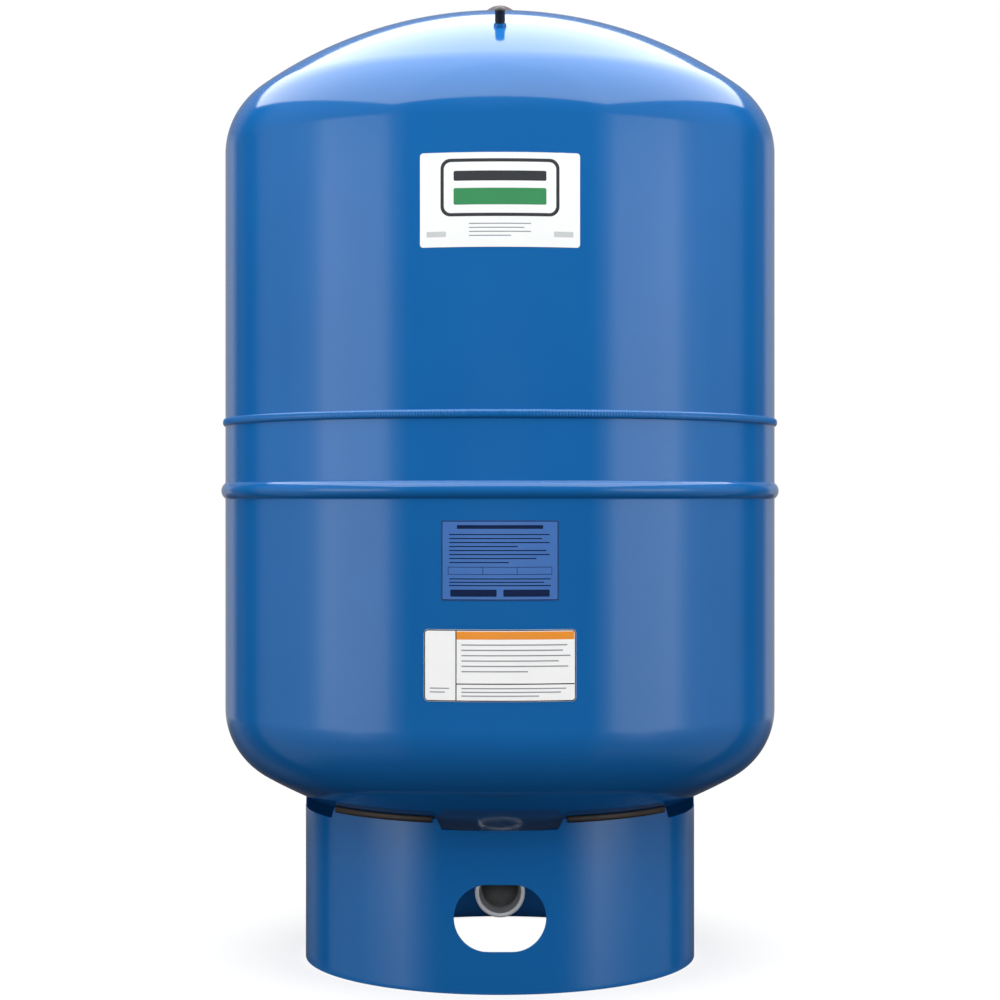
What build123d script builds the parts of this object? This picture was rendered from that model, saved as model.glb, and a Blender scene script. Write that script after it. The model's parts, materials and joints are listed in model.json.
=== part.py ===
from build123d import *
from dataclasses import dataclass
from math import acos, asin, atan2, cos, degrees, pi, radians, sin, sqrt
import os

# A well pressure tank: a steel vessel of two deep-drawn halves on a ring stand, with a butyl diaphragm that
# parts the air above from the water below. Millimetres. The origin is the centre of the stand's foot, +Z is
# up, and the inlet's mouth faces -Y, which is the front.

# Vessel, outside sizes
shell_radius = 279.4
shell_wall = 2.0
lower_side = 287.9          # bottom tangent line up to the girth seam
upper_side = 271.6          # girth seam up to the top tangent line
top_crown = 418.4
top_knuckle = 75.7
bottom_crown = 487.25
bottom_knuckle = 75.8

# Rolled bead round the lower half, which holds the diaphragm's rim on its inside
bead_drop = 68.8            # girth seam down to the bead's middle
bead_radius = 9.5
bead_proud = 4.1
bead_foot = 2.0             # the small curve where the bead leaves the wall

# Joggled lap joint and its weld
lap_gap = 0.2               # between the lip and the upper half that slides over it
joggle_radius = 4.0         # at the middle of the wall
lip_height = 14.0
joggle_drop = 3.5           # girth seam down to the joggle's first bend
edge_rise = 1.5             # girth seam up to the upper half's edge
weld_width = 9.5
weld_proud = 2.5

# Ring stand
stand_radius = 198.3
stand_wall = 2.0
stand_height = 163.9
land_count = 5
notch_depth = 10.3
notch_half_angle = 16.0     # at the notch's bottom
notch_flare = 1.5           # how much wider the notch is at its top, to each side
notch_corner = 2.5
port_width = 86.7
port_height = 62.7
seam_gap = 1.2              # between the rolled strip's ends
seam_weld_width = 5.0
seam_weld_proud = 0.8
seam_weld_inset = 6.0       # from the stand's foot, and from its top

# Rubber edge trim on the stand's lands, which carries the vessel
trim_web = 1.3              # between a land's top and the vessel
trim_side = 2.0
trim_skirt = 4.1            # down the land's sides from its top
trim_corner = 1.6
trim_end_gap = 4.3          # from each end of a land

# Water chamber liner, diaphragm and the hoop that holds them in the bead
liner_gap = 0.6
liner_wall = 2.2
liner_hole_gap = 2.0        # round the spud's barrel
diaphragm_gap = 0.8
diaphragm_wall = 2.5
rim_gap = 0.3
hoop_bite = 0.6             # how far the hoop flattens the rim
hoop_wall = 1.6
hoop_height = 17.0
hoop_corner = 0.7
hat_gap = 4.0               # round the spud's flange
hat_clearance = 0.8         # over the diffuser
hat_corner = 1.8

# Water inlet
barrel_radius = 21.1
inlet_bore = 18.2
spud_fit = 0.1
flange_radius = 36.0
flange_thickness = 4.0
flange_lift = 0.5           # over the liner, taken up by the seal
seal_radius = 1.6
seal_ring = 29.5
seal_groove_width = 4.4
seal_room = 0.05
spud_weld_leg = 6.0
inlet_drop = 52.5           # bottom of the vessel down to the elbow's axis
inlet_reach = 57.0          # from the vessel's axis out to the elbow's mouth
elbow_drop = 12.0           # bottom of the vessel down to the elbow's top
elbow_bend = 25.0
elbow_leg = 22.0
elbow_band = 25.2
elbow_band_length = 14.0
band_chamfer = 0.8
socket_depth = 14.0
thread_radius = 21.05
thread_depth = 18.0
diffuser_radius = 30.0
diffuser_lift = 5.5
diffuser_plate = 2.5
diffuser_fins = 8
diffuser_fin_wall = 2.0
diffuser_fin_start = 6.0
spigot_fit = 0.2
spigot_wall = 2.2
spigot_depth = 8.0

# Boss and plug at the top of the dome
boss_radius = 18.0
boss_depth = 16.0
boss_bore = 10.0
boss_bore_depth = 12.0
plug_dome = 21.0
plug_rise = 14.1            # above the dome
plug_shank = 8.6
plug_shank_length = 10.0
plug_shank_hollow = 5.6
plug_rib_count = 3
plug_rib_pitch = 3.0
plug_rib_height = 1.2
plug_rib_fit = 0.1

# Air valve, on the front of the dome and square to it. Heights are from the dome's skin.
valve_reach = 195.0         # from the vessel's axis
collar_radius = 6.2
collar_top_radius = 5.65
collar_height = 3.5
spud_shank = 5.0
spud_shank_depth = 3.5
stem_radius = 3.85
stem_neck = 3.6
stem_height = 16.2
stem_depth = 6.0
stem_mouth_chamfer = 0.4
cap_foot = 5.1
cap_radius = 4.7
cap_length = 13.5
cap_roof = 1.4
cap_round = 1.9
cap_foot_chamfer = 0.5
cap_fit = 0.1
cap_seal_radius = 3.7
cap_seal_gap = 0.05
core_thread = 2.6
core_seat = 2.45
core_bore = 2.3
core_seat_height = 8.0
core_thread_height = 10.8
barrel_top = 14.8
barrel_bottom = 4.0
barrel_fit = 0.05
sleeve_radius = 1.85
sleeve_bore = 0.95
pocket_radius = 1.8
pocket_floor = 11.4
pin_radius = 0.65
pin_tip = 15.9
pin_collar_radius = 1.5
pin_collar_height = 15.0
pin_collar_thickness = 0.4
cup_radius = 1.75
cup_thickness = 1.9
washer_radius = 1.55
washer_thickness = 0.7
spring_wire = 0.17
spring_radius = 1.3
spring_turns = 5

# Adhesive labels on the front of the vessel
label_thickness = 0.15
label_gap = 0.15                          # the adhesive
front_label_size = (146.3, 85.3, 3.0)     # along the wall, height, corner
data_label_size = (106.6, 72.3, 1.5)
lower_label_size = (139.0, 65.1, 4.0)
front_label_rise = 192.5                  # girth seam up to the label's middle
data_label_drop = 132.5                   # girth seam down to the label's middle
lower_label_drop = 227.2

# Heights that follow: the bottom head rests on the trim over the stand's inner edge
stand_inner = stand_radius - stand_wall
crown_centre_z = stand_height + trim_web + sqrt(bottom_crown**2 - stand_inner**2)
bottom_lift = sqrt((bottom_crown - bottom_knuckle) ** 2 - (shell_radius - bottom_knuckle) ** 2)
bottom_tangent_z = crown_centre_z - bottom_lift
seam_z = bottom_tangent_z + lower_side
top_tangent_z = seam_z + upper_side
bead_z = seam_z - bead_drop
vessel_bottom = crown_centre_z - bottom_crown
inlet_z = vessel_bottom - inlet_drop
liner_inset = shell_wall + liner_gap
liner_skin = liner_inset + liner_wall
diaphragm_inset = liner_skin + diaphragm_gap
diaphragm_skin = diaphragm_inset + diaphragm_wall
bead_centre_radius = shell_radius + bead_proud - bead_radius
rim_radius = bead_radius - liner_skin - rim_gap
hoop_radius = bead_centre_radius - rim_radius + hoop_bite
flange_top = vessel_bottom + liner_skin + flange_lift + flange_thickness
diffuser_top = flange_top + diffuser_lift + diffuser_plate


@dataclass(frozen=True)
class Head:
    """A dished head: a crown arc that runs into a knuckle arc, which ends at the tangent line.

    way is 1 for the top head and -1 for the bottom one.
    """

    crown: float
    knuckle: float
    tangent_z: float
    way: int

    @property
    def centre_z(self):
        """Height of the crown's centre."""
        side = shell_radius - self.knuckle
        return self.tangent_z - self.way * sqrt((self.crown - self.knuckle) ** 2 - side**2)

    @property
    def lean(self):
        """Angle from the axis, in degrees, at which the crown meets the knuckle."""
        return degrees(asin((shell_radius - self.knuckle) / (self.crown - self.knuckle)))

    def skin_z(self, radius, inset=0.0):
        """Height of the crown's skin at a radius."""
        return self.centre_z + self.way * sqrt((self.crown - inset) ** 2 - radius**2)

    def ball(self, inset=0.0):
        """The sphere that the crown is part of."""
        return Pos(0, 0, self.centre_z) * Sphere(self.crown - inset)

    def lines(self, inset, hole=0.0):
        """Crown and knuckle, inset from the outer skin, from the hole's edge out to the tangent line."""
        start = degrees(asin(hole / (self.crown - inset)))
        crown = CenterArc(
            (0, self.centre_z),
            self.crown - inset,
            self.way * (90 - start),
            -self.way * (self.lean - start),
        )
        knuckle = CenterArc(
            (shell_radius - self.knuckle, self.tangent_z),
            self.knuckle - inset,
            self.way * (90 - self.lean),
            -self.way * (90 - self.lean),
        )
        return [crown, knuckle]


top_head = Head(top_crown, top_knuckle, top_tangent_z, 1)
bottom_head = Head(bottom_crown, bottom_knuckle, bottom_tangent_z, -1)


def turned(face, arc=360.0):
    """The solid that a face in radius and height makes when it turns about the vessel's axis."""
    return revolve(Plane.XZ * face, Axis.Z, arc)


def wall_face(outer, inner):
    """The face between two rows of joined lines, closed straight across at both ends."""
    ends = [Line(outer[0] @ 0, inner[0] @ 0), Line(outer[-1] @ 1, inner[-1] @ 1)]
    return make_face([*outer, *inner, *ends])


def block(inner, outer, low, high):
    """A rectangle in radius and height."""
    return Pos((inner + outer) / 2, (low + high) / 2) * Rectangle(outer - inner, high - low)


def tube(outer, inner, low, high):
    """A tube on the Z axis, or a rod where inner is 0."""
    return turned(block(inner, outer, low, high))


def bead_rise():
    """Half the height of the bead, out to where its feet meet the wall."""
    reach = bead_radius + bead_foot
    return sqrt(reach**2 - (reach - bead_proud) ** 2)


def bead_turn():
    """Angle, in degrees, of the bead's arc from its middle to its foot."""
    return degrees(atan2(bead_rise(), bead_radius + bead_foot - bead_proud))


def below_bead(inset, hole=0.0):
    """The lower half's line from its hole up to the bead's middle."""
    side = shell_radius - inset
    foot_z = bead_z - bead_rise()
    return [
        *bottom_head.lines(inset, hole),
        Line((side, bottom_tangent_z), (side, foot_z)),
        CenterArc((shell_radius + bead_foot, foot_z), bead_foot + inset, 180, -bead_turn()),
        CenterArc((bead_centre_radius, bead_z), bead_radius - inset, -bead_turn(), bead_turn()),
    ]


def above_bead(inset):
    """The lower half's line from the bead's middle up through the joggle to the end of its lip."""
    side = shell_radius - inset
    foot_z = bead_z + bead_rise()
    joggle_z = seam_z - joggle_drop
    shift = shell_wall + lap_gap
    turn = acos(1 - shift / (2 * joggle_radius))
    first_centre = shell_radius - joggle_radius - shell_wall / 2
    second_centre = first_centre + 2 * joggle_radius * cos(turn)
    lip_z = joggle_z + 2 * joggle_radius * sin(turn)
    lip = side - shift
    return [
        CenterArc((bead_centre_radius, bead_z), bead_radius - inset, 0, bead_turn()),
        CenterArc(
            (shell_radius + bead_foot, foot_z), bead_foot + inset, 180 + bead_turn(), -bead_turn()
        ),
        Line((side, foot_z), (side, joggle_z)),
        CenterArc(
            (first_centre, joggle_z), joggle_radius + shell_wall / 2 - inset, 0, degrees(turn)
        ),
        CenterArc(
            (second_centre, lip_z),
            joggle_radius - shell_wall / 2 + inset,
            180 + degrees(turn),
            -degrees(turn),
        ),
        Line((lip, lip_z), (lip, lip_z + lip_height)),
    ]


def lower_shell_face():
    """Section of the lower half's wall."""
    hole = barrel_radius + spud_fit
    outer = below_bead(0, hole) + above_bead(0)
    inner = below_bead(shell_wall, hole) + above_bead(shell_wall)
    return wall_face(outer, inner)


def upper_shell_face():
    """Section of the upper half's wall."""
    lines = []
    for inset in (0, shell_wall):
        side = shell_radius - inset
        wall = Line((side, top_tangent_z), (side, seam_z + edge_rise))
        lines.append([*top_head.lines(inset, boss_radius), wall])
    return wall_face(*lines)


# Vessel


def lower_shell():
    """Deep-drawn lower half, with the bead, the joggled lip and the hole for the water inlet."""
    return turned(lower_shell_face())


def upper_shell():
    """Deep-drawn upper half, with the holes for the boss and the air valve."""
    drill = valve_plane() * Cylinder(spud_shank, 6 * shell_wall)
    return turned(upper_shell_face()) - drill


def girth_weld():
    """Weld ring that fills the joggle under the upper half's edge and stands proud of the wall."""
    cap = make_face(
        [
            ThreePointArc(
                (shell_radius, seam_z - weld_width / 2),
                (shell_radius + weld_proud, seam_z),
                (shell_radius, seam_z + weld_width / 2),
            ),
            Line((shell_radius, seam_z - weld_width / 2), (shell_radius, seam_z + weld_width / 2)),
        ]
    )
    lip_skin = shell_radius - shell_wall - lap_gap
    root = block(lip_skin, shell_radius, seam_z - joggle_drop, seam_z + edge_rise)
    outside_joggle = (root - lower_shell_face()).faces().sort_by(Axis.X)[-1]
    return turned(cap + outside_joggle)


def top_boss():
    """Steel lifting boss welded in the apex, with a blind hole that the plug closes."""
    top = top_head.skin_z(0)
    body = tube(boss_radius, 0, top - boss_depth, top)
    return body - tube(boss_bore, 0, top - boss_bore_depth, top)


def top_plug():
    """Moulded dome with a hollow ribbed shank that pushes into the boss."""
    base = top_head.skin_z(0)
    tip = base + plug_rise
    above = block(0, plug_dome, base, tip)
    dome = turned(above & (Pos(0, tip - plug_dome) * Circle(plug_dome)))
    shank = tube(plug_shank, plug_shank_hollow, base - plug_shank_length, base)
    for number in range(plug_rib_count):
        low = base - plug_rib_pitch * (number + 1)
        shank += tube(boss_bore - plug_rib_fit, plug_shank_hollow, low, low + plug_rib_height)
    return dome + shank


# Diaphragm and water chamber


def chamber_liner():
    """Moulded liner of the water chamber, which hooks into the lower half of the bead."""
    hole = barrel_radius + liner_hole_gap
    return turned(wall_face(below_bead(liner_inset, hole), below_bead(liner_skin, hole)))


def diaphragm():
    """Butyl bag lying on the liner, with a round rim in the bead and a moulded hat over the inlet."""
    hat_radius = flange_radius + hat_gap
    hat_z = diffuser_top + hat_clearance
    lines = []
    for inset in (diaphragm_inset, diaphragm_skin):
        side = shell_radius - inset
        lines.append(
            [
                *bottom_head.lines(inset, hat_radius),
                Line((side, bottom_tangent_z), (side, bead_z)),
            ]
        )
    rim = Pos(bead_centre_radius, bead_z) * Circle(rim_radius)
    rim -= block(hoop_radius - hoop_wall, hoop_radius, bead_z - hoop_height, bead_z + hoop_height)
    foot_z = bottom_head.skin_z(hat_radius, diaphragm_inset)
    hat_wall = block(hat_radius, hat_radius + diaphragm_wall, foot_z, hat_z + diaphragm_wall)
    hat_roof = block(0, hat_radius + diaphragm_wall, hat_z, hat_z + diaphragm_wall)
    hat = hat_wall + hat_roof
    hat = fillet(hat.vertices().group_by(Axis.Y)[-1].sort_by(Axis.X)[-1], hat_corner)
    return turned(wall_face(*lines) + rim + hat)


def retaining_hoop():
    """Steel band that squeezes the diaphragm's rim outward into the bead."""
    low, high = bead_z - hoop_height / 2, bead_z + hoop_height / 2
    band = block(hoop_radius - hoop_wall, hoop_radius, low, high)
    return turned(fillet(band.vertices(), hoop_corner))


# Water inlet


def inlet_spud():
    """Stainless fitting through the bottom head: a barrel below, and a flange that follows the liner."""
    barrel_end = vessel_bottom - elbow_drop - socket_depth + spud_fit
    flange = tube(flange_radius, 0, vessel_bottom, flange_top)
    flange &= bottom_head.ball(liner_skin + flange_lift)
    groove = tube(
        seal_ring + seal_groove_width / 2,
        seal_ring - seal_groove_width / 2,
        vessel_bottom,
        seal_centre_z() + seal_radius + seal_room,
    )
    barrel = tube(barrel_radius, 0, barrel_end, flange_top)
    return flange - groove + barrel - tube(inlet_bore, 0, barrel_end, flange_top)


def seal_centre_z():
    """Height of the inlet seal's middle, where it rests on the liner."""
    middle = bottom_crown - liner_skin - seal_radius - seal_room
    return crown_centre_z - sqrt(middle**2 - seal_ring**2)


def inlet_o_ring():
    """Round seal between the spud's flange and the liner."""
    return turned(Pos(seal_ring, seal_centre_z()) * Circle(seal_radius))


def spud_weld():
    """Fillet weld between the bottom head and the spud's barrel."""
    skin = vessel_bottom
    outline = Polyline(
        (barrel_radius, skin - spud_weld_leg),
        (barrel_radius + spud_weld_leg, skin),
        (barrel_radius + spud_weld_leg, skin + shell_wall),
        (barrel_radius, skin + shell_wall),
        close=True,
    )
    return turned(make_face(outline)) - bottom_head.ball()


def elbow_path():
    """The elbow's centre line, from its top down and round to its mouth."""
    top = vessel_bottom - elbow_drop
    return Wire(
        [
            Edge.make_line((0, 0, top), (0, 0, inlet_z + elbow_bend)),
            Edge.make_three_point_arc(
                (0, 0, inlet_z + elbow_bend),
                (0, -elbow_bend * (1 - cos(pi / 4)), inlet_z + elbow_bend * (1 - sin(pi / 4))),
                (0, -elbow_bend, inlet_z),
            ),
            Edge.make_line((0, -elbow_bend, inlet_z), (0, -inlet_reach, inlet_z)),
        ]
    )


def mouth_rod(radius, depth):
    """A rod into the elbow's mouth, or a band round it."""
    face = Plane(origin=(0, -inlet_reach, inlet_z), z_dir=(0, 1, 0)) * Circle(radius)
    return extrude(face, depth)


def inlet_elbow():
    """Cast stainless elbow: a socket for the spud at its top and a threaded mouth at the front."""
    top = vessel_bottom - elbow_drop
    path = elbow_path()
    start = Plane(origin=(0, 0, top), z_dir=(0, 0, -1))
    body = sweep(start * Circle(elbow_leg), path)
    upper_band = tube(elbow_band, 0, top - elbow_band_length, top)
    bands = upper_band + mouth_rod(elbow_band, elbow_band_length)
    bands = chamfer(bands.edges().filter_by(GeomType.CIRCLE), band_chamfer)
    bore = sweep(start * Circle(inlet_bore), path)
    socket = tube(barrel_radius + spud_fit, 0, top - socket_depth, top)
    return body + bands - bore - socket - mouth_rod(thread_radius, thread_depth)


def diffuser():
    """Moulded piece over the inlet: a spigot ring in the bore and fins that hold a plate above the flange."""
    bore = inlet_bore - spigot_fit
    spigot = tube(bore, bore - spigot_wall, flange_top - spigot_depth, flange_top)
    plate = tube(diffuser_radius, 0, flange_top + diffuser_lift, diffuser_top)
    fin_length = diffuser_radius - diffuser_fin_start
    fin = Pos(diffuser_fin_start + fin_length / 2, 0, flange_top + diffuser_lift / 2) * Box(
        fin_length, diffuser_fin_wall, diffuser_lift
    )
    piece = spigot + plate
    for number in range(diffuser_fins):
        piece += Rot(0, 0, 360 / diffuser_fins * number) * fin
    return piece & tube(diffuser_radius, 0, flange_top - spigot_depth, diffuser_top)


# Stand


def stand_ring():
    """The plain ring that the stand is cut from."""
    return tube(stand_radius, stand_inner, 0, stand_height)


def notch():
    """The cutter for the front notch between two lands."""
    floor = stand_height - notch_depth
    low = stand_radius * sin(radians(notch_half_angle))
    high = stand_radius * sin(radians(notch_half_angle + notch_flare))
    outline = make_face(
        Polyline((-low, floor), (low, floor), (high, stand_height), (-high, stand_height), close=True)
    )
    outline = fillet(outline.vertices().group_by(Axis.Y)[0], notch_corner)
    return extrude(Plane.XZ * outline, stand_radius + stand_wall)


def stand():
    """Rolled steel ring with a notch between each two lands, a front port, and a butt seam at the back."""
    ring = stand_ring()
    for number in range(land_count):
        ring -= Rot(0, 0, 360 / land_count * number) * notch()
    port = Pos(0, inlet_z) * SlotOverall(port_width, port_height)
    ring -= extrude(Plane.XZ * port, stand_radius + stand_wall)
    seam = Pos(0, stand_radius, stand_height / 2) * Box(seam_gap, 6 * stand_wall, 2 * stand_height)
    return ring - seam


def stand_seam_weld():
    """Butt weld in the stand's back seam, with a low cap on the outside."""
    length = stand_height - 2 * seam_weld_inset
    half = seam_weld_width / 2
    edge = sqrt(stand_radius**2 - half**2)
    cap = make_face(
        [
            ThreePointArc((-half, edge), (0, stand_radius + seam_weld_proud), (half, edge)),
            Line((-half, edge), (half, edge)),
        ]
    )
    cap -= Circle(stand_radius)
    fill = Pos(0, stand_radius - stand_wall / 2) * Rectangle(seam_gap, stand_wall)
    fill &= Circle(stand_radius)
    return Pos(0, 0, seam_weld_inset) * extrude(cap + fill, length)


def edge_trim(number):
    """One rubber channel over a land of the stand, cut to the vessel's skin on top."""
    low = stand_height - trim_skirt
    high = stand_height + 3 * trim_side
    section = block(stand_inner - trim_side, stand_radius + trim_side, low, high)
    section = fillet(section.vertices().group_by(Axis.Y)[0], trim_corner)
    pitch = 360 / land_count
    land = pitch - 2 * (notch_half_angle + notch_flare)
    arc = land - 2 * degrees(trim_end_gap / stand_radius)
    middle = -90 + pitch * (number - 0.5)
    strip = Rot(0, 0, middle - arc / 2) * turned(section, arc)
    return strip - stand_ring() - bottom_head.ball()


# Air valve


def valve_plane():
    """The plane square to the dome's skin at the air valve, with Z out of the dome."""
    lean = asin(valve_reach / top_crown)
    origin = (0, -valve_reach, top_head.skin_z(valve_reach))
    return Plane(origin=origin, x_dir=(1, 0, 0), z_dir=(0, -sin(lean), cos(lean)))


def air_valve_spud():
    """Steel collar welded in the dome, which the stem screws into."""
    outline = Polyline(
        (stem_radius, -spud_shank_depth),
        (spud_shank, -spud_shank_depth),
        (spud_shank, 0),
        (collar_radius, 0),
        (collar_top_radius, collar_height),
        (stem_radius, collar_height),
        close=True,
    )
    return turned(make_face(outline))


def air_valve_stem():
    """Brass stem, with a bored seat for the valve core."""
    body = tube(stem_radius, 0, -stem_depth, collar_height)
    body += tube(stem_neck, 0, collar_height, cap_foot)
    upper = tube(stem_radius, 0, cap_foot, stem_height)
    body += chamfer(upper.edges().group_by(Axis.Z)[-1], stem_mouth_chamfer)
    body -= tube(core_bore, 0, -stem_depth, core_seat_height)
    body -= tube(core_seat, 0, core_seat_height, core_thread_height)
    return body - tube(core_thread, 0, core_thread_height, stem_height)


def valve_core_barrel():
    """Brass core body: a threaded head with a spring pocket and a sleeve that guides the pin."""
    head = tube(core_thread - barrel_fit, 0, core_thread_height, barrel_top)
    sleeve = tube(sleeve_radius, 0, barrel_bottom, core_thread_height)
    pocket = tube(pocket_radius, 0, pocket_floor, barrel_top)
    return head + sleeve - pocket - tube(sleeve_bore, 0, barrel_bottom, pocket_floor)


def valve_core_seal():
    """Plastic ring that seals the core in the stem's seat."""
    outer = core_seat - barrel_fit
    return tube(outer, sleeve_radius, core_seat_height, core_thread_height)


def valve_core_pin():
    """Pin with a collar that the spring lifts and a cup that holds the washer."""
    cup_top = barrel_bottom - washer_thickness
    pin = tube(pin_radius, 0, cup_top, pin_tip)
    pin += tube(
        pin_collar_radius, 0, pin_collar_height, pin_collar_height + pin_collar_thickness
    )
    return pin + tube(cup_radius, 0, cup_top - cup_thickness, cup_top)


def valve_core_washer():
    """Rubber washer on the pin's cup, which closes the lower end of the sleeve."""
    return tube(washer_radius, pin_radius, barrel_bottom - washer_thickness, barrel_bottom)


def valve_core_spring():
    """Spring between the pocket's floor and the pin's collar."""
    height = pin_collar_height - pocket_floor - 2 * spring_wire
    path = Helix(height / spring_turns, height, spring_radius)
    section = Plane(origin=path @ 0, z_dir=path % 0) * Circle(spring_wire)
    return Pos(0, 0, pocket_floor + spring_wire) * sweep(section, path, is_frenet=True)


def air_valve_cap():
    """Moulded screw cap with a rounded top."""
    top = cap_foot + cap_length
    body = tube(cap_radius, 0, cap_foot, top)
    body = fillet(body.edges().group_by(Axis.Z)[-1], cap_round)
    body = chamfer(body.edges().group_by(Axis.Z)[0], cap_foot_chamfer)
    return body - tube(stem_radius + cap_fit, 0, cap_foot, top - cap_roof)


def cap_seal():
    """Rubber disc that lies on the stem's mouth under the cap's roof."""
    high = cap_foot + cap_length - cap_roof - cap_seal_gap
    return tube(cap_seal_radius, 0, stem_height + cap_seal_gap, high)


# Labels


def label(size, middle_z):
    """A thin sheet wrapped on the front of the vessel's wall."""
    arc, height, corner = size
    width = 2 * shell_radius * sin(arc / shell_radius / 2)
    back = shell_radius + label_gap
    sheet = tube(back + label_thickness, back, middle_z - height, middle_z + height)
    outline = Pos(0, middle_z) * RectangleRounded(width, height, corner)
    return sheet & extrude(Plane.XZ * outline, 2 * shell_radius)


vessel_pieces = {
    "upper_shell": upper_shell(),
    "lower_shell": lower_shell(),
    "girth_weld": girth_weld(),
    "top_boss": top_boss(),
    "top_plug": top_plug(),
    "chamber_liner": chamber_liner(),
    "diaphragm": diaphragm(),
    "retaining_hoop": retaining_hoop(),
    "inlet_spud": inlet_spud(),
    "inlet_o_ring": inlet_o_ring(),
    "spud_weld": spud_weld(),
    "inlet_elbow": inlet_elbow(),
    "diffuser": diffuser(),
    "stand": stand(),
    "stand_seam_weld": stand_seam_weld(),
    "front_label": label(front_label_size, seam_z + front_label_rise),
    "data_label": label(data_label_size, seam_z - data_label_drop),
    "lower_label": label(lower_label_size, seam_z - lower_label_drop),
}
trims = {f"edge_trim_{number + 1}": edge_trim(number) for number in range(land_count)}
valve_pieces = {
    "air_valve_spud": air_valve_spud(),
    "air_valve_stem": air_valve_stem(),
    "valve_core_barrel": valve_core_barrel(),
    "valve_core_seal": valve_core_seal(),
    "valve_core_pin": valve_core_pin(),
    "valve_core_washer": valve_core_washer(),
    "valve_core_spring": valve_core_spring(),
    "air_valve_cap": air_valve_cap(),
    "cap_seal": cap_seal(),
}

os.makedirs("parts", exist_ok=True)
for name, piece in (vessel_pieces | trims).items():
    export_step(piece, f"parts/{name}.step")
for name, piece in valve_pieces.items():
    export_step(valve_plane() * piece, f"parts/{name}.step")
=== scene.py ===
"""The well pressure tank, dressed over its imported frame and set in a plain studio.

Sizes are in millimetres, as in the CAD source, and turn to metres where a mesh is made. +Z is up,
and the front, with the labels and the inlet's mouth, faces -Y.
"""

import json
import logging
import math
import random
from dataclasses import dataclass, field
from enum import Enum
from typing import Any, Iterable, Sequence

import bmesh  # noqa: E402
import bpy  # noqa: E402
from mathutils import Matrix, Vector  # noqa: E402


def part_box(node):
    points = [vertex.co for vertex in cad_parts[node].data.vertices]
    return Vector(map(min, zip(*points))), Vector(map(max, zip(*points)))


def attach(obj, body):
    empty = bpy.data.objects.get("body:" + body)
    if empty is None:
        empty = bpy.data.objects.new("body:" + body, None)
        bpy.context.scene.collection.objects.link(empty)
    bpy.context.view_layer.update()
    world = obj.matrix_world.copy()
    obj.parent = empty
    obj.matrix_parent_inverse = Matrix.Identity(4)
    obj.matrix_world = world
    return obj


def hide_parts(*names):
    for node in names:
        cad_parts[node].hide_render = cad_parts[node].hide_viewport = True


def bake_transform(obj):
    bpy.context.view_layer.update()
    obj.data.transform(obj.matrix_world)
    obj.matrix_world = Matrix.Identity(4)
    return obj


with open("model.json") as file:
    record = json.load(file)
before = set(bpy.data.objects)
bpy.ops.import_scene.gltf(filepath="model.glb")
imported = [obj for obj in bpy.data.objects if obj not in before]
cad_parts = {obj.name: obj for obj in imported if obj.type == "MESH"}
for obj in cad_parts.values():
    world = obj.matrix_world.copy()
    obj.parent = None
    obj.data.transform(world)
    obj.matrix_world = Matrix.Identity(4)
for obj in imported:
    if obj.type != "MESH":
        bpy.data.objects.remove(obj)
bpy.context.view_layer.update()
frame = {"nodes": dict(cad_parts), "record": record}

log = logging.getLogger("pressure_tank")

Point = tuple[float, float]
Place = tuple[float, float, float]
Colour = tuple[float, float, float, float]
Node = bpy.types.Node
Socket = bpy.types.NodeSocket
Tree = bpy.types.NodeTree

MM = 0.001
# The inlet's mouth is a band of this radius, so its axis is as far above the elbow's lowest point.
ELBOW_BAND_RADIUS = 25.2
# Nearly all of a noise texture's values lie between these.
NOISE_LOW, NOISE_HIGH = 0.3, 0.7
# Two points or marks that are no further apart than this, in millimetres, are one.
SAME_PLACE = 1e-4
# How many steps draw one ripple of a weld.
RIPPLE_STEPS = 6
# A label's columns are about this far apart, and no column is shorter than twice the second.
LABEL_STEP, LEAST_REACH = 3.0, 0.01


class Body(Enum):
    """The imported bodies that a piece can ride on."""

    TANK = "tank"
    CAP = "valve_cap"
    PIN = "core_pin"


def corner_mm(node: str, side: int) -> Vector:
    """The low (0) or high (1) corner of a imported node, in millimetres."""
    return Vector(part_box(node)[side]) / MM


def inlet_mouth() -> Vector:
    """The middle of the inlet's mouth, in millimetres."""
    low = corner_mm("inlet_elbow", 0)
    return Vector((0.0, low.y, low.z + ELBOW_BAND_RADIUS))


def per_mm(size: float) -> float:
    """How often a size in millimetres goes into a metre."""
    return 1 / (size * MM)


def linear(colour: str) -> Colour:
    """Turn an sRGB hex colour into linear light.

    Args:
        colour: the colour as "#rrggbb".

    Returns:
        Red, green, blue and an alpha of 1.
    """
    parts = [int(colour[i : i + 2], 16) / 255 for i in (1, 3, 5)]
    red, green, blue = (
        part / 12.92 if part <= 0.04045 else ((part + 0.055) / 1.055) ** 2.4 for part in parts
    )
    return red, green, blue, 1.0


def new_tree(owner: bpy.types.Material | bpy.types.World) -> Tree:
    """Give a material or the world an empty node tree.

    Args:
        owner: what gets the nodes.

    Returns:
        Its tree.
    """
    owner.use_nodes = True
    owner.node_tree.nodes.clear()
    return owner.node_tree


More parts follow.
